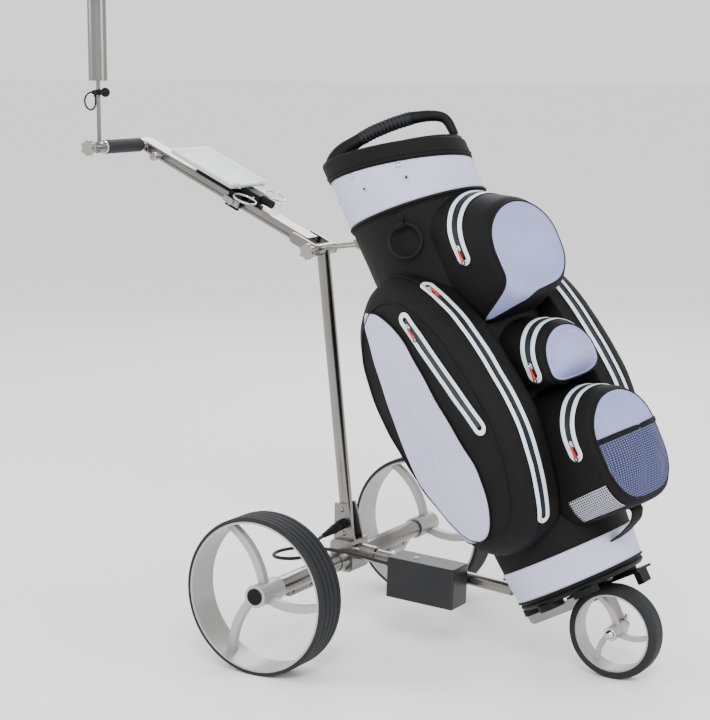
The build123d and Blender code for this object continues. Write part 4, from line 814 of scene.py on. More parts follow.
@dataclass
class SidePocket:
    """Long clothing pocket on one side of the bag, with a crowned face."""

    side: int
    word: str
    outline: list[tuple[float, float]] = field(default_factory=lambda: [
        (-30, 626), (52, 612), (118, 520), (150, 400), (158, 280),
        (122, 150), (60, 101), (-30, 112), (-88, 210), (-122, 330), (-134, 450), (-104, 566),
    ])
    root: float = 86.0
    shoulder: float = 138.0
    face: float = 188.0
    crown: float = 4.0
    inset: float = 0.82

    def loop(self, turn: np.ndarray) -> np.ndarray:
        """Outline point for a share of the way round.

        Args:
            turn: share of the outline's length.

        Returns:
            Points (station, w) in mm.
        """
        dense = smooth_loop(self.outline, 720)
        share = np.linspace(0, 1, 721)
        wrapped = np.concatenate([dense, dense[:1]])
        where = np.mod(turn, 1.0)
        return np.stack([np.interp(where, share, wrapped[:, k]) for k in (0, 1)], -1)

    def skin(self, turn: np.ndarray, run: np.ndarray) -> np.ndarray:
        """The outside: wall to run 0.35, rounded shoulder to 0.62, face to 1.

        Args:
            turn: share of the way round the outline.
            run: from the root (0) to the middle of the face (1).

        Returns:
            Points (station, side, w) in mm.
        """
        turn, run = np.broadcast_arrays(np.asarray(turn, float), np.asarray(run, float))
        wall = np.clip(run / 0.35, 0, 1)
        bend = np.clip((run - 0.35) / 0.27, 0, 1) * np.pi / 2
        inward = np.clip((run - 0.62) / 0.38, 0, 1)
        rise = self.face - self.shoulder
        depth = self.root + (self.shoulder - self.root) * wall + (rise - self.crown) * np.sin(bend)
        depth = depth + self.crown * (1 - (1 - inward) ** 2)
        share = 1 - (1 - self.inset) * (1 - np.cos(bend)) ** 0.9
        share = share * (1 - inward)
        flat = FACE_MIDDLE + (self.loop(turn) - FACE_MIDDLE) * share[..., None]
        return np.stack([flat[..., 0], self.side * depth, flat[..., 1]], -1)

    def placed(self, turn: np.ndarray, run: np.ndarray) -> np.ndarray:
        """Skin in the row frame, with slow cloth waves."""
        points = COLUMN.place(self.skin(turn, run))
        points[..., 1] += ripple(points, 0.0012)
        return points

    def lifted(self, turn: np.ndarray, run: np.ndarray, gap: float) -> Laid:
        """Points a little outside the skin, and the normals there."""
        normal = normals_of(self.placed, turn, run, self.side)
        return self.placed(turn, run) + normal * gap, normal

    def on_face(self, flat: np.ndarray, gap: float) -> Laid:
        """Points on the crowned face under given (station, w) places.

        The face's depth falls off at its rounded edge, found from how far out the place lies.

        Args:
            flat: the places in mm.
            gap: how far outside the face the points lie, in metres.

        Returns:
            Points and normals.
        """
        offset = flat - FACE_MIDDLE
        ray = np.arctan2(offset[..., 1], offset[..., 0])
        dense = smooth_loop(self.outline, 720) - FACE_MIDDLE
        rays = np.arctan2(dense[:, 1], dense[:, 0])
        order = np.argsort(rays)
        reach = np.interp(ray, rays[order], np.hypot(*dense[order].T), period=2 * np.pi)
        share = np.hypot(offset[..., 0], offset[..., 1]) / reach
        cosine = 1 - (np.clip((1 - share) / (1 - self.inset), 0, 1)) ** (1 / 0.9)
        over = np.sqrt(np.clip(1 - cosine**2, 0, 1))
        inward = np.clip(1 - share / self.inset, 0, 1)
        depth = self.shoulder + (self.face - self.shoulder - self.crown) * over
        depth = depth + self.crown * (1 - (1 - inward) ** 2)
        spot = np.stack([flat[..., 0], self.side * depth, flat[..., 1]], -1)
        points = COLUMN.place(spot)
        points[..., 1] += ripple(points, 0.0012)
        _, left, _ = COLUMN.axes()
        normal = np.broadcast_to(self.side * left, points.shape)
        return points + normal * gap, normal

    def body(self) -> None:
        """Black cloth body, closed at its root and the middle of its face."""
        turn = np.linspace(0, 1, 181)[:-1, None]
        run = np.concatenate([np.linspace(0, 0.35, 8), np.linspace(0.37, 0.62, 16), np.linspace(0.66, 1, 12)])
        padded_pocket(f"{self.word}_side_body", self.placed(turn, run[None]), f"{self.word}_side_pocket")

    def panel(self) -> None:
        """Lilac face panel with black piping along its seam."""
        edge = smooth_loop([
            (-50, 588), (-30, 588), (-4, 572), (22, 530), (34, 480), (46, 395), (62, 303), (70, 244),
            (55, 180), (19, 141), (-38, 146), (-76, 190), (-90, 300), (-80, 430), (-64, 530),
        ], 260)
        middle = edge.mean(0)
        share = np.linspace(1, 0.002, 24)[None, :, None]
        flat = middle + (edge[:, None] - middle) * share
        points, _ = self.on_face(flat, 0.0012)
        piece = grid_object(f"{self.word}_side_panel", points, LILAC, "bag", wrap_u=True)
        thicken(merge_poles(piece, 1e-4), 0.0006)
        path, normal = self.on_face(edge, 0.001)
        along_surface(f"{self.word}_panel_piping", path, normal, round_section(0.0018), CLOTH, "bag", True)

    def piping(self) -> None:
        """Piping along the shoulder and along the root seam."""
        turn = np.linspace(0, 1, 300, endpoint=False)
        for index, run in enumerate((0.345, 0.585)):
            path, normal = self.lifted(turn, np.full_like(turn, run), 0.0003)
            along_surface(f"{self.word}_edge_piping_{index}", path, normal, round_section(0.002), CLOTH,
                          "bag", True)

    def face_zip(self) -> None:
        """Straight zip on the face: a pale racetrack round a dark coil."""
        ends = np.array(FACE_ZIP)
        run = unit(ends[1] - ends[0])
        start, end = ends[0] - 14 * run, ends[1] + 16 * run
        along = (end - start) / np.linalg.norm(end - start)
        across = np.array([along[1], -along[0]])
        half = 10.0
        bow = np.linspace(0, np.pi, 30)
        legs = np.linspace(0, 1, 60)[:, None]
        track = np.concatenate([
            start + legs * (end - start) + across * half,
            end + half * (np.cos(bow)[:, None] * across + np.sin(bow)[:, None] * along),
            end + legs * (start - end) - across * half,
            start - half * (np.cos(bow)[:, None] * across + np.sin(bow)[:, None] * along),
        ])
        track = even(np.concatenate([track, track[:1]]), 221)[:-1]
        line = start + np.linspace(0, 1, 90)[:, None] * (end - start)
        lay_zip(f"{self.word}_face", self.on_face(track, 0.0008), self.on_face(line, 0.0004), 0.009, 0.0095)

    def edge_zip(self) -> None:
        """Long curved zip on the flank: a pale racetrack that follows the outline."""
        dense = smooth_loop(self.outline, 720)
        top = np.argmin(np.hypot(*(dense - (80, 583)).T)) / 720
        foot = np.argmin(np.hypot(*(dense - (112, 140)).T)) / 720
        middle, half, bow = 0.30, 0.062, 0.006
        forward, share, tip = racetrack(360)
        line = top + (foot - top) * np.where(forward > 0, share, 1 - share)
        line = line + forward * np.sin(tip) * bow
        track = self.lifted(line, middle + forward * half * np.cos(tip), 0.0007)
        line = np.linspace(top, foot, 200)
        coil = self.lifted(line, np.full_like(line, middle), 0.0004)
        lay_zip(f"{self.word}_edge", track, coil, 0.009, 0.0095)

    def build(self) -> None:
        """Make every piece of the pocket."""
        self.body()
        self.panel()
        self.piping()
        self.face_zip()
        self.edge_zip()


@dataclass
class BagTube:
    """The bag's round tube with its collar, bands and trims."""

    radius: float = 126.0
    foot_radius: float = 117.0
    taper: float = 96.0
    wall: float = 4.5
    band_wall: float = 0.8

    def slant(self, angle: np.ndarray, height: float, slope: float) -> np.ndarray:
        """Height of a plane that falls towards the front of the mouth, at an angle round the bag."""
        forward = np.cos(angle - np.radians(TOP_TURN))
        return height - np.tan(np.radians(slope)) * self.radius * forward

    def at(self, angle: np.ndarray, w: np.ndarray, gap: float) -> np.ndarray:
        """Point on the tube, or outside it by a gap.

        Args:
            angle: turn round the bag.
            w: height along it in mm.
            gap: mm outside the tube.

        Returns:
            Points in the row frame.
        """
        angle, w = np.broadcast_arrays(angle, w)
        radius = self.foot_radius + (self.radius - self.foot_radius) * np.clip(w / self.taper, 0, 1) + gap
        spot = np.stack([radius * np.cos(angle), radius * np.sin(angle), w], -1)
        return BagFrame(0.0).place(spot)

    def standing(self, angle: np.ndarray, w: np.ndarray, gap: float) -> Laid:
        """Points at a gap outside the tube, and the normals there."""
        path = self.at(angle, w, gap)
        return path, unit(path - self.at(angle, w, gap - 5))

    def band(self, name: str, low: tuple[float, float], high: tuple[float, float], gap: float,
             finish: Finish) -> None:
        """Band of cloth round the tube between two slanted planes.

        Args:
            name: name of the piece.
            low: height and slope of its lower edge.
            high: height and slope of its upper edge.
            gap: mm outside the tube.
            finish: its finish.
        """
        angle = np.linspace(0, 2 * np.pi, 161)[:-1, None]
        share = np.linspace(0, 1, 14)[None]
        foot = self.slant(angle, *low)
        w = foot + (self.slant(angle, *high) - foot) * share
        points = self.at(angle, w, gap)
        thicken(grid_object(name, points, finish, "bag", wrap_u=True), self.band_wall * MM)

    def trim(self, name: str, height: float, slope: float, gap: float, radius: float) -> None:
        """Round trim that follows a slanted plane round the tube.

        Args:
            name: name of the piece.
            height: height of the plane in mm.
            slope: its slope in degrees.
            gap: mm outside the tube.
            radius: the trim's radius in mm.
        """
        angle = np.linspace(0, 2 * np.pi, 200, endpoint=False)
        path, normal = self.standing(angle, self.slant(angle, height, slope), gap)
        along_surface(name, path, normal, round_section(radius * MM), CLOTH, "bag", True)

    def shell(self) -> None:
        """Cloth tube, open at the top, with its floor and lining."""
        angle = np.linspace(0, 2 * np.pi, 161)[:-1, None]
        top = self.slant(angle, COLLAR_TOP, COLLAR_SLANT)
        share = np.linspace(0, 1, 60)[None]
        w = 1 + (top - 1) * share
        outside = self.at(angle, w, 0.0)
        outside[..., 0] += ripple(outside, 0.0011) * (share < 0.85)
        inner_w = top - (top - 6) * np.linspace(0, 1, 20)[None]
        inside = self.at(angle, inner_w, -self.wall)
        rows = [drawn_in(outside[:, :1]), outside, inside, drawn_in(inside[:, -1:])]
        piece = grid_object("bag_tube", np.concatenate(rows, 1), CLOTH, "bag", wrap_u=True)
        merge_poles(piece)
        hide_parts("bag_shell")

    def studs(self) -> None:
        """Snap studs on the collar: round chrome caps above dark-ringed sockets."""
        for index, (angle, drop, radius) in enumerate((
            (-104, 8, 5.5), (-62, 8, 5.5), (-96, 36, 5.0), (-60, 33, 5.0), (-166, 10, 5.0), (-160, 36, 5.0),
            (20, 8, 5.5), (62, 8, 5.5), (104, 8, 5.5), (62, 34, 5.0),
        )):
            turn = np.radians(float(angle))
            w = self.slant(turn, COLLAR_TOP, COLLAR_SLANT) - drop
            centre = self.at(turn, np.array(w), 1.6)
            out = unit(centre - self.at(turn, np.array(w), 0.0))
            dome(f"collar_stud_{index}", centre, out, radius * MM, 0.0035 if drop < 20 else 0.0022,
                 CHROME, "bag")
            if drop > 20:
                dome(f"stud_socket_{index}", centre + out * 0.0018, out, 0.0024, 0.0012, PLASTIC, "bag")

    def stitches(self, name: str, height: float, slope: float, gap: float) -> None:
        """Row of stitches: short dashes round the tube, in one mesh.

        Args:
            name: name of the piece.
            height: height of the row's plane in mm.
            slope: its slope in degrees.
            gap: mm outside the tube.
        """
        count, half = 110, 0.016
        angle = np.linspace(0, 2 * np.pi, count, endpoint=False)
        ring = np.stack([angle - half, angle, angle + half], 1)
        path, normal = self.standing(ring, self.slant(ring, height, slope), gap)
        dashes(name, path, normal, 0.0010, TAPE, "bag")

    def build(self) -> None:
        """Make the tube, the collar, the foot band and their trims."""
        self.shell()
        self.band("collar_band", (COLLAR_FOOT, COLLAR_FOOT_SLANT), (COLLAR_TOP, COLLAR_SLANT), 0.6, RIBS)
        self.trim("collar_foot_trim", COLLAR_FOOT - 3, COLLAR_FOOT_SLANT, 1.2, 2.6)
        self.trim("collar_foot_trim_low", COLLAR_FOOT - 8, COLLAR_FOOT_SLANT, 0.6, 1.6)
        self.trim("collar_top_trim", COLLAR_TOP + 1, COLLAR_SLANT, 1.0, 2.0)
        self.band("foot_band", (9, 0), (66, 0), 0.8, LILAC)
        self.trim("foot_trim_low", 7, 0, 1.2, 2.2)
        self.stitches("foot_stitches_low", 14, 0, 1.8)
        self.stitches("foot_stitches_high", 61, 0, 1.8)
        self.stitches("collar_stitches", COLLAR_FOOT + 4, COLLAR_FOOT_SLANT, 1.6)
        self.studs()


def dome(name: str, centre: np.ndarray, out: np.ndarray, radius: float, rise: float, finish: Finish,
         body: str) -> bpy.types.Object:
    """Flat-footed dome: a profile turned about the direction out.

    Args:
        name: name of the piece.
        centre: middle of its foot.
        out: unit direction it rises in.
        radius: radius of its foot.
        rise: its height.
        finish: its finish.
        body: the body it rides on.

    Returns:
        The dome.
    """
    helper = np.array([0.3, 0.2, 0.9])
    u = unit(np.cross(out, helper))
    v = np.cross(out, u)
    turn = np.linspace(0, 2 * np.pi, 20, endpoint=False)[:, None, None]
    bend = np.linspace(0, np.pi / 2, 7)
    reach = np.concatenate([[0.0], np.cos(bend)])[None, :, None] * radius
    height = np.concatenate([[0.0], np.sin(bend)])[None, :, None] * rise
    points = centre + reach * (np.cos(turn) * u + np.sin(turn) * v) + height * out
    return merge_poles(grid_object(name, points, finish, body, wrap_u=True))


def dashes(name: str, path: np.ndarray, normal: np.ndarray, radius: float, finish: Finish,
           body: str) -> None:
    """Many short raised threads in one mesh.

    Args:
        name: name of the piece.
        path: points of shape (dashes, 3 stations, 3).
        normal: normals of the same shape.
        radius: half the thread's thickness.
        finish: its finish.
        body: the body it rides on.
    """
    run = unit(path[:, 2] - path[:, 0])[:, None]
    side = unit(np.cross(run, normal))
    turn = np.linspace(0, 2 * np.pi, 6, endpoint=False)
    swell = np.array([0.15, 1.0, 0.15])[None, :, None, None]
    ring = (np.cos(turn)[:, None] * side[:, :, None] + np.sin(turn)[:, None] * normal[:, :, None])
    points = path[:, :, None] + ring * radius * swell
    count = len(path)
    base = np.arange(count)[:, None, None] * 18
    row = np.arange(2)[None, :, None] * 6
    col = np.arange(6)[None, None]
    nxt = (col + 1) % 6
    faces = np.stack([base + row + col, base + row + nxt, base + row + 6 + nxt, base + row + 6 + col], -1)
    mesh = bpy.data.meshes.new(name)
    mesh.from_pydata(points.reshape(-1, 3).tolist(), [], faces.reshape(-1, 4).tolist())
    mesh.polygons.foreach_set("use_smooth", np.ones(len(mesh.polygons), bool))
    work = bmesh.new()
    work.from_mesh(mesh)
    bmesh.ops.holes_fill(work, edges=work.edges, sides=6)
    bmesh.ops.recalc_face_normals(work, faces=work.faces)
    work.to_mesh(mesh)
    work.free()
    new_piece(name, mesh, finish, body)


def swept(name: str, centre: np.ndarray, across: np.ndarray, sizes: np.ndarray, finish: Finish, body: str,
          power: float = 2.6) -> bpy.types.Object:
    """Solid swept along a curve in a plane, with an oval section that changes on its way.

    Args:
        name: name of the piece.
        centre: centre line.
        across: unit direction square to the curve's plane.
        sizes: half widths (across, within the plane) at each station.
        finish: its finish.
        body: the body it rides on.
        power: how square the section is.

    Returns:
        The piece.
    """
    run = unit(np.gradient(centre, axis=0))
    within = np.cross(run, across)
    turn = np.linspace(0, 2 * np.pi, 28, endpoint=False)
    wide, high = signed_power(np.cos(turn), 2 / power), signed_power(np.sin(turn), 2 / power)
    points = (centre[:, None] + sizes[:, :1, None] * wide[None, :, None] * across
              + sizes[:, 1:, None] * high[None, :, None] * within[:, None])
    return merge_poles(grid_object(name, ends_closed(points), finish, body, wrap_v=True))


def rim_cover(tube: BagTube) -> None:
    """Black roll over the mouth's moulded ring.

    Args:
        tube: the bag's tube, which the roll follows.
    """
    angle = np.linspace(0, 2 * np.pi, 161)[:-1, None]
    low = tube.slant(angle, COLLAR_TOP + 2, COLLAR_SLANT)
    high = tube.slant(angle, RIM_TOP, COLLAR_SLANT)
    share = np.concatenate([np.linspace(0, 0.86, 14), 0.86 + 0.14 * np.sin(np.linspace(0.2, np.pi / 2, 8))])
    gap = np.concatenate([np.full(14, 4.2), 4.2 - 4.6 * (1 - np.cos(np.linspace(0.2, np.pi / 2, 8)))])
    outside = tube.at(angle, low + (high - low) * share[None], gap[None])
    inner_share = np.array([1.0, 0.97, 0.9, 0.5, 0.0])
    inner_gap = np.array([-1.4, -2.2, 1.5, 1.5, 1.5])
    inside = tube.at(angle, low + (high - low) * inner_share[None], inner_gap[None])
    points = np.concatenate([outside, inside], 1)
    piece = grid_object("rim_cover", points, CLOTH, "bag", wrap_u=True, wrap_v=True)
    tube.trim("rim_seam", COLLAR_TOP + 9, COLLAR_SLANT, 4.4, 1.1)


def carry_handle() -> None:
    """Moulded lift handle over the mouth: a wide rear foot, a ribbed middle and a slim front foot."""
    corners = np.array([
        (-114.0, 862.0), (-111.0, 872.0), (-98, 887), (-78, 896), (-50, 901), (-20, 904), (20, 902.5),
        (56, 898), (86, 889), (108, 878), (115, 868), (116.5, 852), (116.5, 836),
    ])
    curve = smoothed(even(corners, 90), 7)
    spot = np.stack([curve[:, 0], np.zeros(len(curve)), curve[:, 1]], -1)
    centre = MOUTH.place(spot)
    _, left, _ = MOUTH.axes()
    share = np.linspace(0, 1, len(curve))
    width = np.interp(share, [0, 0.05, 0.14, 0.24, 0.3, 0.66, 0.72, 0.86, 1],
                      [42, 40, 30, 18, 12, 12, 11, 12, 12.5])
    height = np.interp(share, [0, 0.05, 0.14, 0.24, 0.3, 0.66, 0.72, 0.9, 1],
                       [17, 17, 15, 12.5, 11.5, 11.5, 10.5, 9, 8])
    piece = swept("lift_handle", centre, left, np.stack([width, height], -1) * MM, PLASTIC, "bag")
    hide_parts("carry_handle")
    held = slice(int(0.30 * len(curve)), int(0.66 * len(curve)))
    count = len(curve[held])
    swell = 12.6 + 0.55 * np.cos(np.linspace(0, 2 * np.pi * 13, count * 8))
    dense = np.stack([np.interp(np.linspace(0, 1, count * 8), np.linspace(0, 1, count), centre[held][:, k])
                      for k in range(3)], -1)
    sleeve = swept("lift_handle_grip", dense, left, np.stack([swell, swell], -1) * MM, GRIP, "bag", 2.2)


def grab_strap() -> None:
    """Webbing loop under the lower pocket, for lifting the bag by its foot."""
    corners = [(120, 93), (150, 101), (180, 101), (199, 86), (186, 70), (150, 57), (120, 51)]
    path = COLUMN.place(smoothed(even(np.array([(x, 0.0, w) for x, w in corners]), 60), 5))
    _, left, _ = COLUMN.axes()
    run = unit(np.gradient(path, axis=0))
    normal = np.cross(run, left)
    section = strap_section(0.031, 0.0034)
    strap = along_surface("grab_strap_webbing", path, normal, section, WEBBING, "bag", False)
    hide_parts("grab_strap")
    for side in (-1, 1):
        seam = path + left * side * 0.0125 + normal * 0.0019
        cells, stands = seam[:57].reshape(19, 3, 3), normal[:57].reshape(19, 3, 3)
        dashes(f"strap_stitches_{'left' if side > 0 else 'right'}", cells, stands, 0.0006, TAPE, "bag")


def slider_pull(word: str, origin: np.ndarray, out: np.ndarray, closed: np.ndarray, node: str,
                body: str) -> None:
    """Zip slider with a red cord pull that ends in a dark loop.

    Args:
        word: name of its pieces.
        origin: middle of the slider's seat.
        out: unit direction out of the cloth.
        closed: unit direction towards the zip's closed end.
        node: CAD node that it replaces.
        body: the body it rides on.
    """
    side = np.cross(closed, out)

    def spot(points: np.ndarray) -> np.ndarray:
        """Places (out, side, closed) in mm, brought to the row frame."""
        return origin + points[:, :1] * MM * out + points[:, 1:2] * MM * side + points[:, 2:] * MM * closed

    line = np.linspace(-6.5, 6.5, 14)
    shape = np.sqrt(np.clip(1 - (line / 6.6) ** 4, 0.02, 1))
    centre = spot(np.stack([np.full(14, 2.0), np.zeros(14), line], -1))
    sizes = np.stack([4.2 * shape, 1.6 * shape], -1) * MM
    slider = swept(f"{word}_slider_body", centre, side, sizes, CHROME, body)
    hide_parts(node)
    bridge = spot(np.array([(3.2, 0, 3.5), (4.4, 0, 2.0), (4.6, 0, -1.0), (4.0, 0, -4.0), (3.2, 0, -5.0)]))
    swept(f"{word}_slider_bridge", bridge, side, np.full((5, 2), 0.9) * MM, CHROME, body, 2.0)
    for strand in (-1, 1):
        pull = spot(np.array([
            (4.4, 0.6 * strand, -2.5), (4.9, 1.2 * strand, -7), (5.0, 0.8 * strand, -12),
            (4.9, 1.8 * strand, -18), (4.6, 2.6 * strand, -25),
        ]))
        cord = swept(f"{word}_pull_cord_{'left' if strand > 0 else 'right'}", even(pull, 24), side,
                     np.full((24, 2), 1.15) * MM, RED, body, 2.0)
    turn = np.linspace(0, 2 * np.pi, 28, endpoint=False)
    loop = spot(np.stack([np.full(28, 4.8), 3.4 * np.sin(turn), -26.5 + 4.0 * np.cos(turn)], -1))
    along_surface(f"{word}_pull_loop", loop, np.broadcast_to(out, loop.shape), round_section(0.0011, 8), CORD,
                  body, True)


def sliders() -> None:
    """Every zip slider, at its joint's rest place."""
    ahead, left, up = COLUMN.axes()
    for pocket in FRONT:
        origin = COLUMN.place(np.array([pocket.zip_station, -pocket.half - 0.9, pocket.centre]))
        slider_pull(pocket.name, origin, -left, up, f"{pocket.name}_front_slider", f"{pocket.name}_slider")
    (x1, w1), (x2, w2) = FACE_ZIP
    closed = unit(ahead * (x1 - x2) + up * (w1 - w2))
    origin = COLUMN.place(np.array([x1, -188.5, w1]))
    slider_pull("face", origin, -left, closed, "right_side_slider", "side_slider")
    cx, cw = EDGE_CENTRE
    x, w = EDGE_TOP
    reach = np.hypot(x - cx, w - cw)
    out = (ahead * (x - cx) + up * (w - cw)) / reach
    closed = (up * (x - cx) - ahead * (w - cw)) / reach
    origin = COLUMN.place(np.array([x, -138.0, w])) + out * 4.5 * MM
    slider_pull("edge", origin, out, closed, "right_edge_slider", "edge_slider")


def towel_ring() -> None:
    """Twisted ring for a towel, in a webbing tab on the bag's wall."""
    ahead, left, up = COLUMN.axes()
    angle = np.radians(TOWEL_ANGLE)
    out = ahead * np.cos(angle) + left * np.sin(angle)
    side = np.cross(up, out)
    top = COLUMN.place(np.array([0.0, 0.0, TOWEL_TOP])) + out * (BAG_RADIUS + TOWEL_STAND) * MM
    turn = np.linspace(0, 2 * np.pi, 320, endpoint=False)
    centre = top - up * TOWEL_RADIUS * MM
    ray = np.cos(turn)[:, None] * up + np.sin(turn)[:, None] * side
    path = centre + ray * TOWEL_RADIUS * MM
    spin = np.linspace(0, 2 * np.pi, 12, endpoint=False)[None, :, None]
    swell = 1 + 0.07 * np.cos(40 * turn)[:, None, None]
    points = path[:, None] + 0.0037 * swell * (np.cos(spin) * ray[:, None] + np.sin(spin) * out)
    ring = grid_object("towel_ring_ribbed", points, PLASTIC, "towel_ring", wrap_u=True, wrap_v=True)
    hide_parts("towel_ring")
    bend = np.linspace(-np.pi * 0.62, np.pi * 0.62, 24)
    loop = np.stack([np.cos(bend) * 7.4, np.zeros(24), np.sin(bend) * 7.4], -1)
    wall = np.array([(-8.0, 0, 26), (-7.6, 0, 17), (-6.5, 0, 11)])
    tail = np.array([(-6.5, 0, -8.5), (-8.0, 0, -13)])
    curve = np.concatenate([wall, loop[::-1], tail])
    place = top + curve[:, :1] * MM * out + curve[:, 2:] * MM * up
    run = unit(np.gradient(place, axis=0))
    normal = np.cross(side, run)
    section = strap_section(0.0225, 0.0022)
    tab = along_surface("towel_tab_webbing", place, normal, section, WEBBING, "bag", False)
    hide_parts("towel_loop")


# ---- cart details ----------------------------------------------------------------------------
def in_row(x: float, y: float, z: float) -> np.ndarray:
    """Row-frame point in metres from the drawing frame in mm."""
    return np.array([x * MM + AXLE_X, y * MM, z * MM])


def frame_screws() -> None:
    """Dome-headed screws on the axle rail and on the mast foot's cheeks."""
    for y in (-205, -145, -85, 85, 145, 205):
        dome(f"rail_screw_{'left' if y > 0 else 'right'}_{abs(y)}", in_row(5.5, y, 124.5),
             np.array([1.0, 0, 0]), 0.0036, 0.0022, STEEL, "cart")
    for height in (194, 240):
        x = -57 * (height - 187) / 550
        for side in (-1, 1):
            dome(f"cheek_screw_{height}_{'left' if side > 0 else 'right'}", in_row(x, side * 17.5, height),
                 np.array([0.0, side, 0]), 0.005, 0.0032, STEEL, "cart")


def dress(node: str, finish: Finish) -> None:
    """Give a CAD node its finish.

    Args:
        node: name of the node.
        finish: what it wears in every slot.
    """
    piece = bpy.data.objects[node]
    if not piece.material_slots:
        piece.data.materials.append(None)
    for slot in piece.material_slots:
        slot.material = finish.material()
    LOG.info("dressed %s in %s", node, finish.name)


FINISHES: list[tuple[Finish, tuple[str, ...]]] = [
    (STEEL, ("axle_tube", "mast_tube", "keel_tube", "bag_rest", "front_arm", "umbrella_holder", "handle_tube",
             "mast_foot")),
    (SATIN, ("hinge_knob", "umbrella_knob", "clamp_knob", "front_wing_nut", "speed_dial")),
    (CHROME, ("grip_bar", "hinge_bolt", "front_axle", "left_drive_shaft", "right_drive_shaft", "ball_loops")),
    (SILVER, ("left_rear_rim", "right_rear_rim", "front_rim")),
    (TYRE, ("left_rear_tyre", "right_rear_tyre", "front_tyre")),
    (PLASTIC, ("base_bracket", "axle_bushes", "gear_motors", "left_hub_cap", "right_hub_cap",
               "scorecard_clamp", "bag_base", "top_ring", "lead_socket", "battery_hanger", "bungee_ball",
               "battery_plug")),
    (TRAY, ("scorecard_tray", "power_button")),
    (CLEAR, ("scorecard_lid",)),
    (GRIP, ("hand_grip",)),
    (CASE, ("battery_case", "battery_lid")),
]


# ---- cords -----------------------------------------------------------------------------------
LEAD_ROUTE = [
    (119.66, -60, 162.08), (103.68, -60, 162.92), (80, -62, 167), (48, -70, 173), (16, -84, 179),
    (-14, -106, 184), (-36, -132, 187), (-48, -162, 188), (-48, -190, 188), (-34, -212, 189),
    (-11, -220, 190), (12, -212, 191), (26, -190, 192), (24, -163, 194), (11, -140, 197),
    (-3, -114.6, 201.6), (-3, -89.8, 204.5),
]
LEAD_DIAMETER = 6.5 * MM
BUNGEE_AT = (-467.97, -152.5, 1030)
BUNGEE_ROUTE = [
    (13, 0), (19, 0), (26, -3), (32, -9), (34, -17), (32, -25), (26, -32), (18, -34), (11, -31),
    (7.5, -24), (7, -16), (7, -9),
]
BUNGEE_DIAMETER = 3.6 * MM


def cord_curve(name: str, points: list[np.ndarray], diameter: float, body: str) -> bpy.types.Object:
    """Round cord on a smooth curve through its route.

    Args:
        name: name of the piece.
        points: route in the row frame.
        diameter: its diameter.
        body: the body it rides on.

    Returns:
        The curve object.
    """
    curve = bpy.data.curves.new(name, "CURVE")
    curve.dimensions = "3D"
    curve.bevel_depth = diameter / 2
    curve.bevel_resolution = 5
    curve.resolution_u = 12
    curve.use_fill_caps = True
    spline = curve.splines.new("NURBS")
    spline.points.add(len(points) - 1)
    for point, place in zip(spline.points, points):
        point.co = (*place, 1.0)
    spline.order_u = 3
    spline.use_endpoint_u = True
    return new_piece(name, curve, CORD, body)


def battery_lead() -> None:
    """Short lead from the battery's gland, in one loose loop over the axle, to the plug."""
    points = [in_row(*place) for place in LEAD_ROUTE]
    lead = cord_curve("battery_lead_cord", points, LEAD_DIAMETER, "battery")
    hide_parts("battery_lead")
    LOG.info("battery lead laid")


def bungee_cord() -> None:
    """Elastic loop behind the umbrella holder's rod, from its crimp to its boss."""
    x, y, z = BUNGEE_AT
    points = [in_row(x - back, y, z + rise) for back, rise in BUNGEE_ROUTE]
    cord = cord_curve("bungee_loop_cord", points, BUNGEE_DIAMETER, "umbrella")
    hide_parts("bungee_cord")
    LOG.info("bungee loop laid")


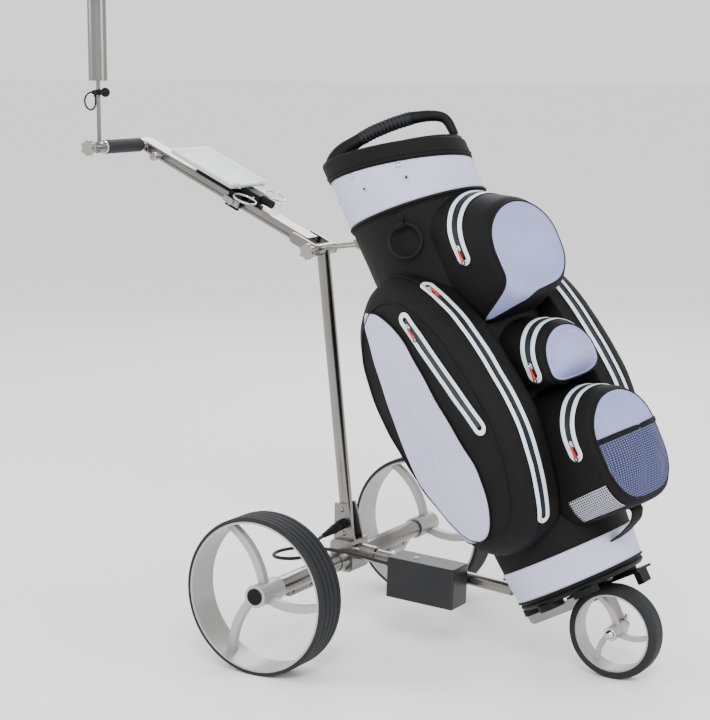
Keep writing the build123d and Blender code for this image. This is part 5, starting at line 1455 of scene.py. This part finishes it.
# ---- camera, floor and light -----------------------------------------------------------------
def stage() -> None:
    """Plain pale floor and a camera slightly above the axle, on the cart's right and front."""
    sheet = bpy.data.meshes.new("floor")
    sheet.from_pydata([(-60, -60, 0), (60, -60, 0), (60, 60, 0), (-60, 60, 0)], [], [(0, 1, 2, 3)])
    floor = bpy.data.objects.new("floor", sheet)
    bpy.context.scene.collection.objects.link(floor)
    sheet.materials.append(FLOOR.material())
    turn, tilt, distance = np.radians(31.0), np.radians(9.18), 3.4905
    target = np.array([0.0695 + AXLE_X, -0.0931, 0.5474])
    away = np.array([np.sin(turn) * np.cos(tilt), -np.cos(turn) * np.cos(tilt), np.sin(tilt)])
    lens = bpy.data.cameras.new("studio_camera")
    lens.lens = 95
    lens.sensor_width = 36
    camera = bpy.data.objects.new("studio_camera", lens)
    camera.location = Vector(target + distance * away)
    camera.rotation_euler = Vector(-away).to_track_quat("-Z", "Y").to_euler()
    bpy.context.scene.collection.objects.link(camera)
    bpy.context.scene.camera = camera
    world = bpy.data.worlds.new("studio")
    bpy.context.scene.world = world
    world.use_nodes = True
    world.node_tree.nodes["Background"].inputs["Color"].default_value = (1, 1, 1, 1)
    world.node_tree.nodes["Background"].inputs["Strength"].default_value = 1.35
    for name, place, size, power in (
        ("key_light", (2.2, -3.4, 3.4), 1.6, 190), ("fill_light", (-3.2, -2.2, 2.2), 2.0, 60),
        ("rim_light", (-1.4, 3.2, 2.8), 1.8, 60), ("front_light", (3.6, 0.6, 1.8), 1.6, 50),
    ):
        area = bpy.data.lights.new(name, "AREA")
        area.size = size
        area.energy = power
        light = bpy.data.objects.new(name, area)
        light.location = Vector(place)
        light.rotation_euler = (Vector(target) - Vector(place)).to_track_quat("-Z", "Y").to_euler()
        bpy.context.scene.collection.objects.link(light)


def main() -> None:
    """Make the whole object in the shared frame."""
    logging.basicConfig(level=logging.INFO, format="%(name)s: %(message)s")
    stage()
    battery_lead()
    bungee_cord()
    for finish, nodes in FINISHES:
        for node in nodes:
            dress(node, finish)
    tube = BagTube()
    tube.build()
    rim_cover(tube)
    for pocket in FRONT:
        pocket.body()
        pocket.panel(BLUISH)
        pocket.zipper()
    FRONT[-1].net_pocket()
    FRONT[-1].side_net()
    SidePocket(-1, "right").build()
    SidePocket(1, "left").build()
    carry_handle()
    grab_strap()
    towel_ring()
    sliders()
    frame_screws()


if __name__ == "__main__":
    main()
